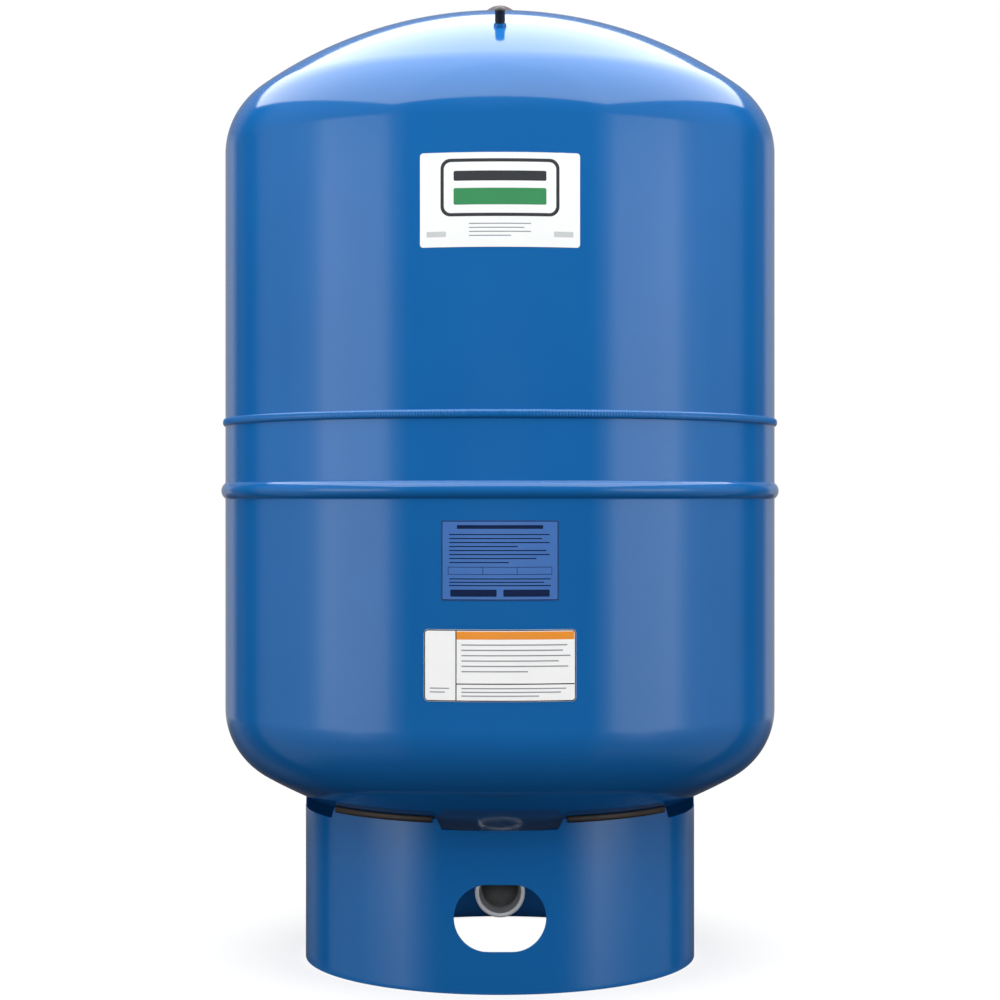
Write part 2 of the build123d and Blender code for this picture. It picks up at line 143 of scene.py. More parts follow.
def add(
    tree: Tree,
    kind: str,
    inputs: dict | None = None,
    stops: Sequence[tuple[float, Colour]] = (),
    **settings: Any,
) -> Node:
    """Add one shader node with its settings and links.

    Args:
        tree: the node tree that gets the node.
        kind: the node's type in Blender, without its ShaderNode.
        inputs: by input name or number, a value, the socket that feeds it, or the node whose
            first output does.
        stops: a colour ramp's places and colours, in rising order.
        settings: the node's own properties.

    Returns:
        The new node.
    """
    node = tree.nodes.new(f"ShaderNode{kind}")
    for name, value in settings.items():
        setattr(node, name, value)
    for name, value in (inputs or {}).items():
        if isinstance(value, Node):
            value = value.outputs[0]
        if isinstance(value, Socket):
            tree.links.new(value, node.inputs[name])
        else:
            node.inputs[name].default_value = value
    if stops:
        elements = node.color_ramp.elements
        elements.remove(elements[1])
        for number, (position, colour) in enumerate(stops):
            stop = elements.new(position) if number else elements[0]
            stop.position, stop.color = position, colour
    return node


# Finishes


@dataclass(frozen=True)
class Finish:
    """A surface with a fine relief and a slow drift of its colour.

    grain, grain_height and drift_size are real millimetres. drift and wear are the shares by which
    the colour and the roughness wander to each side.
    """

    name: str
    slot: str
    colour: str
    roughness: float
    ior: float = 1.5
    metallic: float = 0.0
    grain: float = 0.5
    grain_height: float = 0.004
    drift: float = 0.06
    drift_size: float = 60.0
    wear: float = 0.1

    def material(self) -> bpy.types.Material:
        """Build the material once, and hand out the same one afterwards."""
        return bpy.data.materials.get(self.name) or self.build()

    def build(self) -> bpy.types.Material:
        """Make the material's nodes.

        Returns:
            The new material.
        """
        material = bpy.data.materials.new(self.name)
        tree = new_tree(material)
        place = add(tree, "TexCoord").outputs["Object"]
        inputs = {
            "Base Color": self.shade(tree, place),
            "Metallic": self.metallic,
            "Roughness": self.gloss(tree, place),
            "Normal": self.relief(tree, place),
        }
        if not self.metallic:
            inputs["IOR"] = self.ior
        add(tree, "OutputMaterial", {"Surface": add(tree, "BsdfPrincipled", inputs)})
        return material

    def shade(self, tree: Tree, place: Socket) -> Node:
        """Make the colour, a little darker and lighter from place to place.

        Args:
            tree: the material's nodes.
            place: the place on the piece, in its own space.

        Returns:
            The node that gives the colour.
        """
        base = linear(self.colour)[:3]
        stops = [
            (position, (*(min(1.0, part * share) for part in base), 1.0))
            for position, share in ((NOISE_LOW, 1 - self.drift), (NOISE_HIGH, 1 + self.drift))
        ]
        inputs = {"Vector": place, "Scale": per_mm(self.drift_size), "Detail": 3.0}
        return add(tree, "ValToRGB", {"Fac": add(tree, "TexNoise", inputs)}, stops)

    def gloss(self, tree: Tree, place: Socket) -> Node:
        """Make the roughness, which wanders by the share of wear to each side.

        Args:
            tree: the material's nodes.
            place: the place on the piece, in its own space.

        Returns:
            The node that gives the roughness.
        """
        inputs = {"Vector": place, "Scale": per_mm(self.drift_size / 3), "Detail": 4.0}
        span = {
            "Value": add(tree, "TexNoise", inputs),
            "From Min": NOISE_LOW,
            "From Max": NOISE_HIGH,
            "To Min": self.roughness * (1 - self.wear),
            "To Max": self.roughness * (1 + self.wear),
        }
        return add(tree, "MapRange", span)

    def relief(self, tree: Tree, place: Socket) -> Node:
        """Make the bumps of the grain.

        Args:
            tree: the material's nodes.
            place: the place on the piece, in its own space.

        Returns:
            The node that gives the normal.
        """
        inputs = {"Vector": place, "Scale": per_mm(self.grain), "Detail": 2.0}
        height = add(tree, "TexNoise", inputs)
        return add(tree, "Bump", {"Height": height, "Distance": self.grain_height * MM})


@dataclass(frozen=True)
class PowderCoat(Finish):
    """Glossy powder coat: orange peel over a wall that the press left very slightly wavy."""

    wave: float = 90.0
    wave_height: float = 0.015

    def relief(self, tree: Tree, place: Socket) -> Node:
        """Make orange peel on top of the drawn wall's slow waves.

        Args:
            tree: the material's nodes.
            place: the place on the piece, in its own space.

        Returns:
            The node that gives the normal.
        """
        waves = {"Vector": place, "Scale": per_mm(self.wave), "Detail": 0.0}
        peel = {"Vector": place, "Scale": per_mm(self.grain), "Detail": 1.0}
        wavy = {"Height": add(tree, "TexNoise", waves), "Distance": self.wave_height * MM}
        inputs = {
            "Height": add(tree, "TexNoise", peel),
            "Distance": self.grain_height * MM,
            "Normal": add(tree, "Bump", wavy),
        }
        return add(tree, "Bump", inputs)


@dataclass(frozen=True)
class StainlessWithPaintedBoreShade(Finish):
    """Blasted casting with painted shade in the bore, where the recess behind the inlet's mouth
    would lie in shade.
    """

    # The bore's radius, where it starts and ends behind the mouth, and the share of the colour that
    # the painted shade leaves in it.
    bore: float = 21.4
    bore_start: float = 0.2
    bore_depth: float = 79.0
    bore_shade_share: float = 0.25

    def shade(self, tree: Tree, place: Socket) -> Node:
        """Make the blasted colour, with painted shade darkening the bore behind the inlet's mouth.

        Args:
            tree: the material's nodes.
            place: the place on the piece, in its own space.

        Returns:
            The node that gives the colour.
        """
        mouth = inlet_mouth()
        level = {0: place, 1: (0.0, 0.0, mouth.z * MM)}
        across = {0: add(tree, "VectorMath", level, operation="SUBTRACT"), 1: (1.0, 0.0, 1.0)}
        flat = add(tree, "VectorMath", across, operation="MULTIPLY")
        reach = add(tree, "VectorMath", {0: flat}, operation="LENGTH").outputs["Value"]
        along = add(tree, "SeparateXYZ", {0: place}).outputs["Y"]
        # Painted shade: inside the bore the colour is scaled down, as the deep recess would be
        # dark.
        inside = add(tree, "Math", {0: reach, 1: self.bore * MM}, operation="LESS_THAN")
        for operation, depth in (("GREATER_THAN", self.bore_start), ("LESS_THAN", self.bore_depth)):
            past = add(tree, "Math", {0: along, 1: (mouth.y + depth) * MM}, operation=operation)
            inside = add(tree, "Math", {0: inside, 1: past}, operation="MULTIPLY")
        share = add(tree, "Mix", {0: inside, 2: 1.0, 3: self.bore_shade_share})
        inputs = {0: super().shade(tree, place), "Scale": share}
        return add(tree, "VectorMath", inputs, operation="SCALE")


# Polyester powder coat, baked on steel: one deep even blue with a smooth, glossy skin whose orange
# peel of about 3 mm only just softens the edges of what it mirrors.
BLUE_POWDER_COAT = PowderCoat(
    "blue polyester powder coat", "blue_paint", "#1863a7", 0.1, grain=3.0, grain_height=0.0016,
    drift=0.03, drift_size=140.0,
)
# Cold-rolled steel, as it leaves the mill: a dull grey sheen with faint smears.
ROLLED_STEEL = Finish(
    "cold-rolled steel", "bare_steel", "#a9a7a4", 0.38, metallic=1.0, grain=1.2,
    grain_height=0.006, drift=0.1,
)
# Cast stainless steel, bead blasted: light, even grey that scatters as much as it mirrors, with the
# pitted grain of the blasting, drawn a little coarser than the real 0.15 mm so that it shows.
# The bore behind the inlet's mouth gets painted shade: its grey is darkened to a quarter there.
BLASTED_STAINLESS = StainlessWithPaintedBoreShade(
    "blasted cast stainless steel", "stainless", "#babdc0", 0.5, metallic=0.45, grain=0.4,
    grain_height=0.02, drift=0.05, drift_size=12.0,
)
# Hard-drawn spring wire: bright grey with a slight drawn haze.
DRAWN_SPRING_WIRE = Finish(
    "hard-drawn spring wire", "spring_steel", "#b9b9ba", 0.25, metallic=1.0, grain=0.2,
    grain_height=0.002,
)
# Free-cutting brass, turned: warm yellow with tool marks too fine to part.
TURNED_BRASS = Finish(
    "turned brass", "brass", "#d8b063", 0.22, metallic=1.0, grain=0.25, grain_height=0.003,
)
# Nitrile rubber, moulded: near-black with a soft, dry sheen.
NITRILE_RUBBER = Finish(
    "moulded nitrile rubber", "seal_rubber", "#232323", 0.55, ior=1.52, grain=0.3,
    grain_height=0.006,
)
# Butyl rubber, moulded in a sand-blasted tool: matt black with a dusty bloom.
BUTYL_RUBBER = Finish(
    "moulded butyl rubber", "butyl", "#242426", 0.7, ior=1.52, grain=1.0, grain_height=0.02,
    drift=0.15, drift_size=80.0,
)
# EPDM edge strip, extruded: black with a faint brown cast and a low sheen along its length.
EPDM_STRIP = Finish(
    "extruded EPDM rubber", "trim_rubber", "#2a1f18", 0.42, ior=1.52, grain=0.6,
    grain_height=0.012, drift=0.12, drift_size=20.0,
)
# Polypropylene, thermoformed in its natural milky colour: waxy and half dull.
NATURAL_POLYPROPYLENE = Finish(
    "natural polypropylene", "liner_plastic", "#e0dfd6", 0.45, ior=1.49, grain=2.0,
    grain_height=0.01, drift=0.02,
)
# PTFE, turned: clean white with a waxy look.
TURNED_PTFE = Finish(
    "turned PTFE", "core_plastic", "#e8e8e4", 0.4, ior=1.38, grain=0.3, grain_height=0.003,
)
# Black polyamide, injection moulded in a polished tool: black with soft, clear highlights.
BLACK_POLYAMIDE = Finish(
    "moulded black polyamide", "cap_plastic", "#161617", 0.42, ior=1.53, grain=0.8,
    grain_height=0.004,
)
# Brown-grey polyethylene, injection moulded and weathered: matt, with a faint warm cast.
DARK_POLYETHYLENE = Finish(
    "moulded dark polyethylene", "plug_plastic", "#4c4146", 0.72, ior=1.4, grain=1.0,
    grain_height=0.006,
)


@dataclass(frozen=True)
class PrintedVinyl(Finish):
    """Vinyl film under a clear laminate: flat ink colours with a calm, slightly wavy shine."""

    roughness: float = 0.22
    slot: str = "label_white"
    colour: str = "#f6f8f8"
    grain: float = 6.0
    grain_height: float = 0.006
    drift: float = 0.012
    drift_size: float = 45.0


# Print film: plain white, a brighter white for the small print, and blue to go with the paint.
WHITE_VINYL = PrintedVinyl("white vinyl film")
BRIGHT_VINYL = PrintedVinyl("bright white vinyl film", colour="#fefefe")
BLUE_VINYL = PrintedVinyl("blue printed vinyl film", slot="label_blue", colour="#4773b7")


class Ink(Enum):
    """The inks on the labels, each with the film's own laminate over it."""

    CHARCOAL = "#3c3e42"
    BLACK = "#191a1c"
    GREY = "#8d9297"
    PALE_GREY = "#c9cdcf"
    WHITE = "#f6f8f8"
    BRIGHT_WHITE = "#fefefe"
    GREEN = "#3f8f5c"
    ORANGE = "#f3993a"
    NAVY = "#142448"
    BLUE = "#4773b7"

    def finish(self, slot: str) -> PrintedVinyl:
        """The printed film's finish in this ink."""
        name = f"{self.name.lower().replace('_', ' ')} ink on {slot.replace('_', ' ')}"
        return PrintedVinyl(name, slot=slot, colour=self.value)


CAD_FINISHES = {
    finish.slot: finish
    for finish in (
        BLUE_POWDER_COAT, ROLLED_STEEL, BLASTED_STAINLESS, DRAWN_SPRING_WIRE, TURNED_BRASS,
        NITRILE_RUBBER, BUTYL_RUBBER, EPDM_STRIP, NATURAL_POLYPROPYLENE, TURNED_PTFE,
        BLACK_POLYAMIDE, DARK_POLYETHYLENE, WHITE_VINYL, BLUE_VINYL,
    )
}


def dress_frame() -> None:
    """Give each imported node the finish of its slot."""
    for part in frame["record"]["subparts"]:
        finish = CAD_FINISHES[part["material_slot"]]
        node = frame["nodes"][part["node"]]
        if not node.material_slots:
            node.data.materials.append(finish.material())
        for holder in node.material_slots:
            holder.material = finish.material()
        log.info("%s: packed shape, %s", part["node"], finish.name)


# Meshes


@dataclass
class Surface:
    """Points and faces of one piece, in millimetres, until it becomes a Blender object."""

    points: list[Place] = field(default_factory=list)
    faces: list[tuple[int, ...]] = field(default_factory=list)

    def row(self, places: Iterable[Place]) -> list[int]:
        """Add points.

        Args:
            places: where they are.

        Returns:
            Their numbers.
        """
        start = len(self.points)
        self.points.extend(places)
        return list(range(start, len(self.points)))

    def wrap(self, rows: Sequence[list[int]], closed: bool) -> None:
        """Join rows of points, each a ring, into a tube.

        Args:
            rows: the rings, all of the same length.
            closed: whether the last ring meets the first one, or the two get end faces.
        """
        count = len(rows[0])
        for near, far in zip(rows, [*rows[1:], rows[0]] if closed else rows[1:]):
            for i in range(count):
                j = (i + 1) % count
                self.faces.append((near[i], near[j], far[j], far[i]))
        if not closed:
            self.faces += [tuple(reversed(rows[0])), tuple(rows[-1])]

    def piece(
        self,
        name: str,
        finish: Finish,
        body: Body | None = Body.TANK,
        stands_for: str | None = None,
        crease: float = 35.0,
    ) -> bpy.types.Object:
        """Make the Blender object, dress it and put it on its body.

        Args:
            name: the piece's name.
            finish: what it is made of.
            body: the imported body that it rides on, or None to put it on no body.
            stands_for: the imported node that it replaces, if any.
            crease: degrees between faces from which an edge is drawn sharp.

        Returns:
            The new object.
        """
        mesh = bpy.data.meshes.new(name)
        places = [tuple(value * MM for value in point) for point in self.points]
        mesh.from_pydata(places, [], self.faces)
        mesh.materials.append(finish.material())
        mesh.shade_smooth()
        mesh.set_sharp_from_angle(angle=math.radians(crease))
        mesh.validate()
        thing = bpy.data.objects.new(name, mesh)
        bpy.context.scene.collection.objects.link(thing)
        if body:
            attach(thing, body.value)
        if stands_for:
            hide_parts(stands_for)
        log.info("%s: %d faces, %s", name, len(mesh.polygons), finish.name)
        return thing


def sweep(rings: Iterable[Iterable[Place]], closed: bool) -> Surface:
    """Join rings of points into the skin of one piece.

    Args:
        rings: the points of each ring, as many in each.
        closed: whether the last ring meets the first one, or the two get end faces.

    Returns:
        The skin.
    """
    surface = Surface()
    surface.wrap([surface.row(ring) for ring in rings], closed)
    return surface


def turned(section: Iterable[Point], turn: float) -> list[Place]:
    """Set a section in radius and height at a turn about the tank's axis, from the front."""
    side, front = math.sin(turn), -math.cos(turn)
    return [(radius * side, radius * front, z) for radius, z in section]


def lathe(section: Sequence[Point], steps: int) -> Surface:
    """Turn a closed section about the tank's axis."""
    turns = (math.tau * step / steps for step in range(steps))
    return sweep((turned(section, turn) for turn in turns), closed=True)


def arc(centre: Point, radius: float, start: float, sweep_angle: float, count: int) -> list[Point]:
    """Points along an arc.

    Args:
        centre: the arc's centre.
        radius: its radius.
        start: the angle of its first point, in degrees.
        sweep_angle: how far it turns, in degrees.
        count: how many steps it has.

    Returns:
        Its points, both ends among them.
    """
    angles = [math.radians(start + sweep_angle * i / count) for i in range(count + 1)]
    return [
        (centre[0] + radius * math.cos(angle), centre[1] + radius * math.sin(angle))
        for angle in angles
    ]


def run_on(*lines: Sequence[Point]) -> list[Point]:
    """Run lines together, without the points that two of them share.

    Args:
        lines: the lines, each of which starts where the one before it ends.

    Returns:
        The points of the whole line.
    """
    path: list[Point] = []
    for point in (point for line in lines for point in line):
        if not path or math.dist(path[-1], point) > SAME_PLACE:
            path.append(point)
    return path


def distinct(marks: Iterable[float]) -> list[float]:
    """Sort marks along a line, and drop those that lie where the next one does.

    Args:
        marks: distances along the line.

    Returns:
        The marks that are left, in rising order.
    """
    ordered = sorted(marks)
    kept = [mark for mark, after in zip(ordered, ordered[1:]) if after - mark > SAME_PLACE]
    return [*kept, ordered[-1]]


# Vessel


@dataclass(frozen=True)
class DishedHead:
    """A head whose crown runs into a knuckle, and the knuckle into the straight wall.

    way is 1 for the top head and -1 for the bottom one.
    """

    crown: float
    knuckle: float
    radius: float
    centre_z: float
    way: int

    @property
    def lean(self) -> float:
        """Degrees from the axis at which the crown meets the knuckle."""
        share = (self.radius - self.knuckle) / (self.crown - self.knuckle)
        return math.degrees(math.asin(share))

    @property
    def tangent_z(self) -> float:
        """Height of the tangent line."""
        rise = math.sqrt((self.crown - self.knuckle) ** 2 - (self.radius - self.knuckle) ** 2)
        return self.centre_z + self.way * rise

    def line(self, inset: float, hole: float, count: int) -> list[Point]:
        """The skin, or a line inset from it.

        Args:
            inset: how far it lies inside the skin.
            hole: radius of the hole in the crown's middle.
            count: how many steps the crown and the knuckle have each.

        Returns:
            Its points from the hole's edge out to the tangent line.
        """
        first = math.degrees(math.asin(hole / (self.crown - inset)))
        rest = self.way * (90 - self.lean)
        corner = (self.radius - self.knuckle, self.tangent_z)
        reach = -self.way * (self.lean - first)
        crown = arc((0, self.centre_z), self.crown - inset, self.way * (90 - first), reach, count)
        return run_on(crown, arc(corner, self.knuckle - inset, rest, -rest, count))


@dataclass
class Vessel:
    """The two deep-drawn halves and the weld between them.

    weld_root is the depth under the skin and the height over the seam of the weld's inner points.
    """

    wall: float = 2.0
    top_crown: float = 418.4
    top_knuckle: float = 75.7
    bottom_crown: float = 487.25
    bottom_knuckle: float = 75.8
    boss_hole: float = 18.0
    spud_hole: float = 21.2
    bead_drop: float = 68.8
    bead_radius: float = 9.5
    bead_proud: float = 4.1
    bead_foot: float = 2.0
    joggle_drop: float = 3.5
    joggle_radius: float = 4.0
    lap_gap: float = 0.2
    lip_height: float = 14.0
    edge_rise: float = 1.5
    weld_width: float = 8.4
    weld_proud: float = 2.5
    weld_fullness: float = 0.4
    weld_lift: float = 0.03
    weld_dip: float = 0.12
    weld_sway: float = 0.05
    weld_root: tuple[Point, Point] = ((0.5, -1.2), (1.2, 1.2))
    ripple_pitch: float = 3.0
    ripple_height: float = 0.38
    ripple_sink: float = 0.8
    ripple_bow: float = 0.8
    steps: int = 360

    def __post_init__(self) -> None:
        """Read the places that the frame gives."""
        low, high = corner_mm("upper_shell", 0), corner_mm("upper_shell", 1)
        weld_low, weld_high = corner_mm("girth_weld", 0), corner_mm("girth_weld", 1)
        self.radius = (high.x - low.x) / 2
        self.seam_z = (weld_low.z + weld_high.z) / 2
        self.bead_z = self.seam_z - self.bead_drop
        top = high.z - math.sqrt(self.top_crown**2 - self.boss_hole**2)
        bottom_depth = math.sqrt(self.bottom_crown**2 - self.spud_hole**2)
        bottom = corner_mm("lower_shell", 0).z + bottom_depth
        self.top = DishedHead(self.top_crown, self.top_knuckle, self.radius, top, 1)
        self.bottom = DishedHead(self.bottom_crown, self.bottom_knuckle, self.radius, bottom, -1)

    def build(self) -> None:
        """Make the halves, each from the lines of its outer and inner skin, and their weld."""
        for line, name, node in (
            (self.upper_line, "drawn_upper_half", "upper_shell"),
            (self.lower_line, "drawn_lower_half", "lower_shell"),
        ):
            half = lathe(line(0, 40) + line(self.wall, 20)[::-1], self.steps)
            half.piece(name, BLUE_POWDER_COAT, stands_for=node)
        self.girth_weld()

    def upper_line(self, inset: float, count: int) -> list[Point]:
        """The upper half's skin, or a line inset from it.

        Args:
            inset: how far it lies inside the skin.
            count: how many steps the head's arcs have.

        Returns:
            Its points from the boss's hole down to the plain edge under the weld.
        """
        edge = (self.radius - inset, self.seam_z + self.edge_rise)
        return run_on(self.top.line(inset, self.boss_hole, count), [edge])

    def lower_line(self, inset: float, count: int) -> list[Point]:
        """The lower half's skin, or a line inset from it.

        Args:
            inset: how far it lies inside the skin.
            count: how many steps the head's arcs have.

        Returns:
            Its points from the spud's hole, over the bead and the joggle, up to the lip's end.
        """
        reach = self.bead_radius + self.bead_foot
        rise = math.sqrt(reach**2 - (reach - self.bead_proud) ** 2)
        turn = math.degrees(math.atan2(rise, reach - self.bead_proud))
        bead_middle = (self.radius + self.bead_proud - self.bead_radius, self.bead_z)
        foot_radius, foot = self.radius + self.bead_foot, self.bead_foot + inset
        shift = self.wall + self.lap_gap
        bend = math.acos(1 - shift / (2 * self.joggle_radius))
        bend_angle = math.degrees(bend)
        first_z = self.seam_z - self.joggle_drop
        first_middle = self.radius - self.joggle_radius - self.wall / 2
        second_middle = first_middle + 2 * self.joggle_radius * math.cos(bend)
        lip_z = first_z + 2 * self.joggle_radius * math.sin(bend)
        first_bend = self.joggle_radius + self.wall / 2 - inset
        second_bend = self.joggle_radius - self.wall / 2 + inset
        return run_on(
            self.bottom.line(inset, self.spud_hole, count),
            arc((foot_radius, self.bead_z - rise), foot, 180, -turn, 6),
            arc(bead_middle, self.bead_radius - inset, -turn, 2 * turn, 24),
            arc((foot_radius, self.bead_z + rise), foot, 180 + turn, -turn, 6),
            arc((first_middle, first_z), first_bend, 0, bend_angle, 6),
            arc((second_middle, lip_z), second_bend, 180 + bend_angle, -bend_angle, 6),
            [(self.radius - inset - shift, lip_z + self.lip_height)],
        )

    def girth_weld(self) -> None:
        """Make the weld's bead under the paint, with its ripples and the sway of the torch."""
        rng = random.Random(4)
        waves = [(rng.randint(5, 60), rng.uniform(0, math.tau)) for _ in range(9)]
        ripples = round(math.tau * self.radius / self.ripple_pitch)
        steps = ripples * RIPPLE_STEPS
        rings = []
        for step in range(steps):
            turn = math.tau * step / steps
            sway = sum(math.sin(turn * rate + phase) for rate, phase in waves) / len(waves)
            rings.append(turned(self.weld_section(ripples * turn, sway), turn))
        bead = sweep(rings, closed=True)
        bead.piece("girth_weld_bead", BLUE_POWDER_COAT, stands_for="girth_weld", crease=60)

    def weld_section(self, phase: float, sway: float) -> list[Point]:
        """The weld's section at one place.

        Args:
            phase: how far the ripples have run, in radians.
            sway: how far the torch is off its line there, from -1 to 1.

        Returns:
            Radius and height of the section's points.
        """
        half = self.weld_width / 2
        section = []
        for number in range(11):
            across = 1 - number / 5
            swell = 1 - across**2
            ripple = 0.5 + 0.5 * math.cos(phase - self.ripple_bow * across**2)
            crest = self.weld_proud - self.ripple_height * self.ripple_sink
            height = crest * swell**self.weld_fullness
            height += (self.ripple_height * ripple - self.weld_dip * abs(sway)) * swell
            reach = half * (1 - self.weld_sway + self.weld_sway * sway)
            section.append((self.radius + self.weld_lift + height, self.seam_z + across * reach))
        root = [(self.radius - depth, self.seam_z + rise) for depth, rise in self.weld_root]
        return [*section, *root]


# Sheet that is made of upright columns


@dataclass(frozen=True)
class Column:
    """One upright line through a sheet: its outer and inner place, and its ends.

    cut_low and cut_high say whether the sheet ends there, or runs on into another band.
    """

    outer: Point
    inner: Point
    low: float
    high: float
    cut_low: bool = True
    cut_high: bool = True

    def corners(self) -> list[Place]:
        """Its four corners, up the outer side and down the inner one."""
        up = [(*self.outer, z) for z in (self.low, self.high)]
        return up + [(*self.inner, z) for z in (self.high, self.low)]


def band(surface: Surface, columns: Sequence[Column]) -> None:
    """Add one closed band of sheet, with its rims and its two ends.

    Args:
        surface: the piece that the band belongs to.
        columns: the band's columns from one end to the other.
    """
    rows = [surface.row(column.corners()) for column in columns]
    for this, other, near, far in zip(columns, columns[1:], rows, rows[1:]):
        surface.faces.append((near[0], far[0], far[1], near[1]))
        surface.faces.append((near[2], far[2], far[3], near[3]))
        if this.cut_high or other.cut_high:
            surface.faces.append((near[1], far[1], far[2], near[2]))
        if this.cut_low or other.cut_low:
            surface.faces.append((near[3], far[3], far[0], near[0]))
    surface.faces += [tuple(reversed(rows[0])), tuple(rows[-1])]


@dataclass
class Stand:
    """The rolled ring stand with its notches, its front port and the weld in its back seam.

    Columns are closer from corner_start before a notch's side, over corner_span, and come no nearer
    to the seam than seam_margin in degrees.
    """

    wall: float = 2.0
    lands: int = 5
    land_steps: int = 28
    notch_depth: float = 10.3
    notch_half_angle: float = 16.0
    notch_flare: float = 1.5
    notch_corner: float = 2.5
    corner_start: float = 4.0
    corner_span: float = 5.5
    port_width: float = 86.7
    port_height: float = 62.7
    seam_gap: float = 1.2
    seam_margin: float = 0.05
    edge_round: float = 0.45
    seam_weld_width: float = 5.0
    seam_weld_proud: float = 0.8
    seam_ripple: float = 2.4
    seam_ripple_height: float = 0.16
    seam_ripple_bow: float = 1.4

    def __post_init__(self) -> None:
        """Read the places that the frame gives."""
        low, high = corner_mm("stand", 0), corner_mm("stand", 1)
        self.radius = (high.x - low.x) / 2
        self.height = high.z
        self.port_z = inlet_mouth().z

    def build(self) -> None:
        """Make the ring and its seam weld."""
        self.ring()
        self.seam_weld()

    def notch_reach(self, flare: float) -> float:
        """How far a notch reaches to each side of its middle, with a flare in degrees."""
        return self.radius * math.sin(math.radians(self.notch_half_angle + flare))

    def around(self, side: float, cut_middle: float) -> tuple[Point, Point]:
        """The outer and inner place of a point beside a cut's middle line.

        Args:
            side: distance to the right, square to the cut's direction.
            cut_middle: the direction of the cut, in degrees from the front.

        Returns:
            The places on the outer and on the inner skin.
        """
        places = []
        for radius in (self.radius, self.radius - self.wall):
            turn = math.radians(cut_middle) + math.asin(side / radius)
            places.append((radius * math.sin(turn), -radius * math.cos(turn)))
        return places[0], places[1]

    def top_at(self, side: float) -> float:
        """Height of the ring's top in and beside a notch.

        Args:
            side: distance from the notch's middle line.

        Returns:
            The height: the notch's floor, its rounded corner, its flared side or the land.
        """
        floor, side = self.height - self.notch_depth, abs(side)
        low, high = self.notch_reach(0.0), self.notch_reach(self.notch_flare)
        run = high - low
        slope, lean = math.hypot(run, self.notch_depth), math.atan2(self.notch_depth, run)
        tangent = self.notch_corner * math.tan(lean / 2)
        if side <= low - tangent:
            return floor
        if side >= high:
            return self.height
        if side >= low + tangent * run / slope:
            return floor + (side - low) * self.notch_depth / run
        across = side - (low - tangent)
        return floor + self.notch_corner - math.sqrt(self.notch_corner**2 - across**2)

    def port_at(self, side: float) -> float:
        """Half the port's height beside its middle.

        Args:
            side: distance from the port's middle line.

        Returns:
            The height, which falls to 0 at the port's round ends.
        """
        end = self.port_height / 2
        past = max(0.0, abs(side) - (self.port_width / 2 - end))
        return math.sqrt(max(0.0, end**2 - past**2))

    def sides(self) -> list[float]:
        """Where the ring gets a column beside a notch's middle, out to the notch's edge.

        Returns:
            Distances to both sides, close together at the port's ends and the notch's corners.
        """
        end = self.port_width / 2
        middle = end - self.port_height / 2
        bend = self.notch_reach(0.0) - self.corner_start
        marks = {self.notch_reach(self.notch_flare)}
        marks |= {middle * i / 6 for i in range(7)}
        marks |= {middle + (end - middle) * math.sin(math.pi / 2 * i / 20) for i in range(21)}
        marks |= {end + (bend - end) * i / 3 for i in range(4)}
        marks |= {bend + self.corner_span * i / 16 for i in range(17)}
        kept = distinct(marks)
        return sorted({-mark for mark in kept} | set(kept))

    def ring(self) -> None:
        """Make the rolled ring, as bands below and above the port's middle height."""
        pitch, sides = 360 / self.lands, self.sides()
        notch_edge = math.degrees(math.asin(sides[-1] / self.radius))
        land = pitch - 2 * notch_edge
        spots: list[Point] = []
        for middle in (pitch * number for number in range(self.lands)):
            spots += [(middle, side) for side in sides]
            steps = range(1, self.land_steps)
            spots += [(middle + (notch_edge + land * i / self.land_steps), 0.0) for i in steps]
        seam = math.degrees(math.asin(self.seam_gap / 2 / self.radius))
        before, after = 180 - seam - self.seam_margin, 180 + seam + self.seam_margin
        right = [spot for spot in spots if self.turn_of(spot) < before]
        left = [(spot[0] - 360, spot[1]) for spot in spots if self.turn_of(spot) > after]
        ordered = [(-180 + seam, 0.0), *left, *right, (180 - seam, 0.0)]
        surface = Surface()
        for columns in zip(*(self.columns(spot) for spot in ordered)):
            band(surface, columns)
        ring = surface.piece("rolled_stand", BLUE_POWDER_COAT, stands_for="stand", crease=60)
        weld_points(ring)
        soften(ring, self.edge_round)

    def turn_of(self, spot: Point) -> float:
        """Degrees from the front to a column's place on the outer skin."""
        return spot[0] + math.degrees(math.asin(spot[1] / self.radius))

    def columns(self, spot: Point) -> tuple[Column, Column]:
        """The columns below and above the port's middle height at one place.

        Args:
            spot: a cut's middle direction in degrees from the front, and the distance from it.

        Returns:
            The lower and the upper column.
        """
        middle, side = spot
        outer, inner = self.around(side, middle)
        on_land = side == 0.0 and abs((middle / (360 / self.lands)) % 1.0) > 1e-9
        beyond = abs(side) > self.notch_reach(self.notch_flare)
        top = self.height if on_land or beyond else self.top_at(side)
        at_port = middle == 0.0 and abs(side) < self.port_width / 2 - SAME_PLACE
        opening = self.port_at(side) if at_port else 0.0
        return (
            Column(outer, inner, 0.0, self.port_z - opening, cut_high=opening > 0),
            Column(outer, inner, self.port_z + opening, top, cut_low=opening > 0),
        )

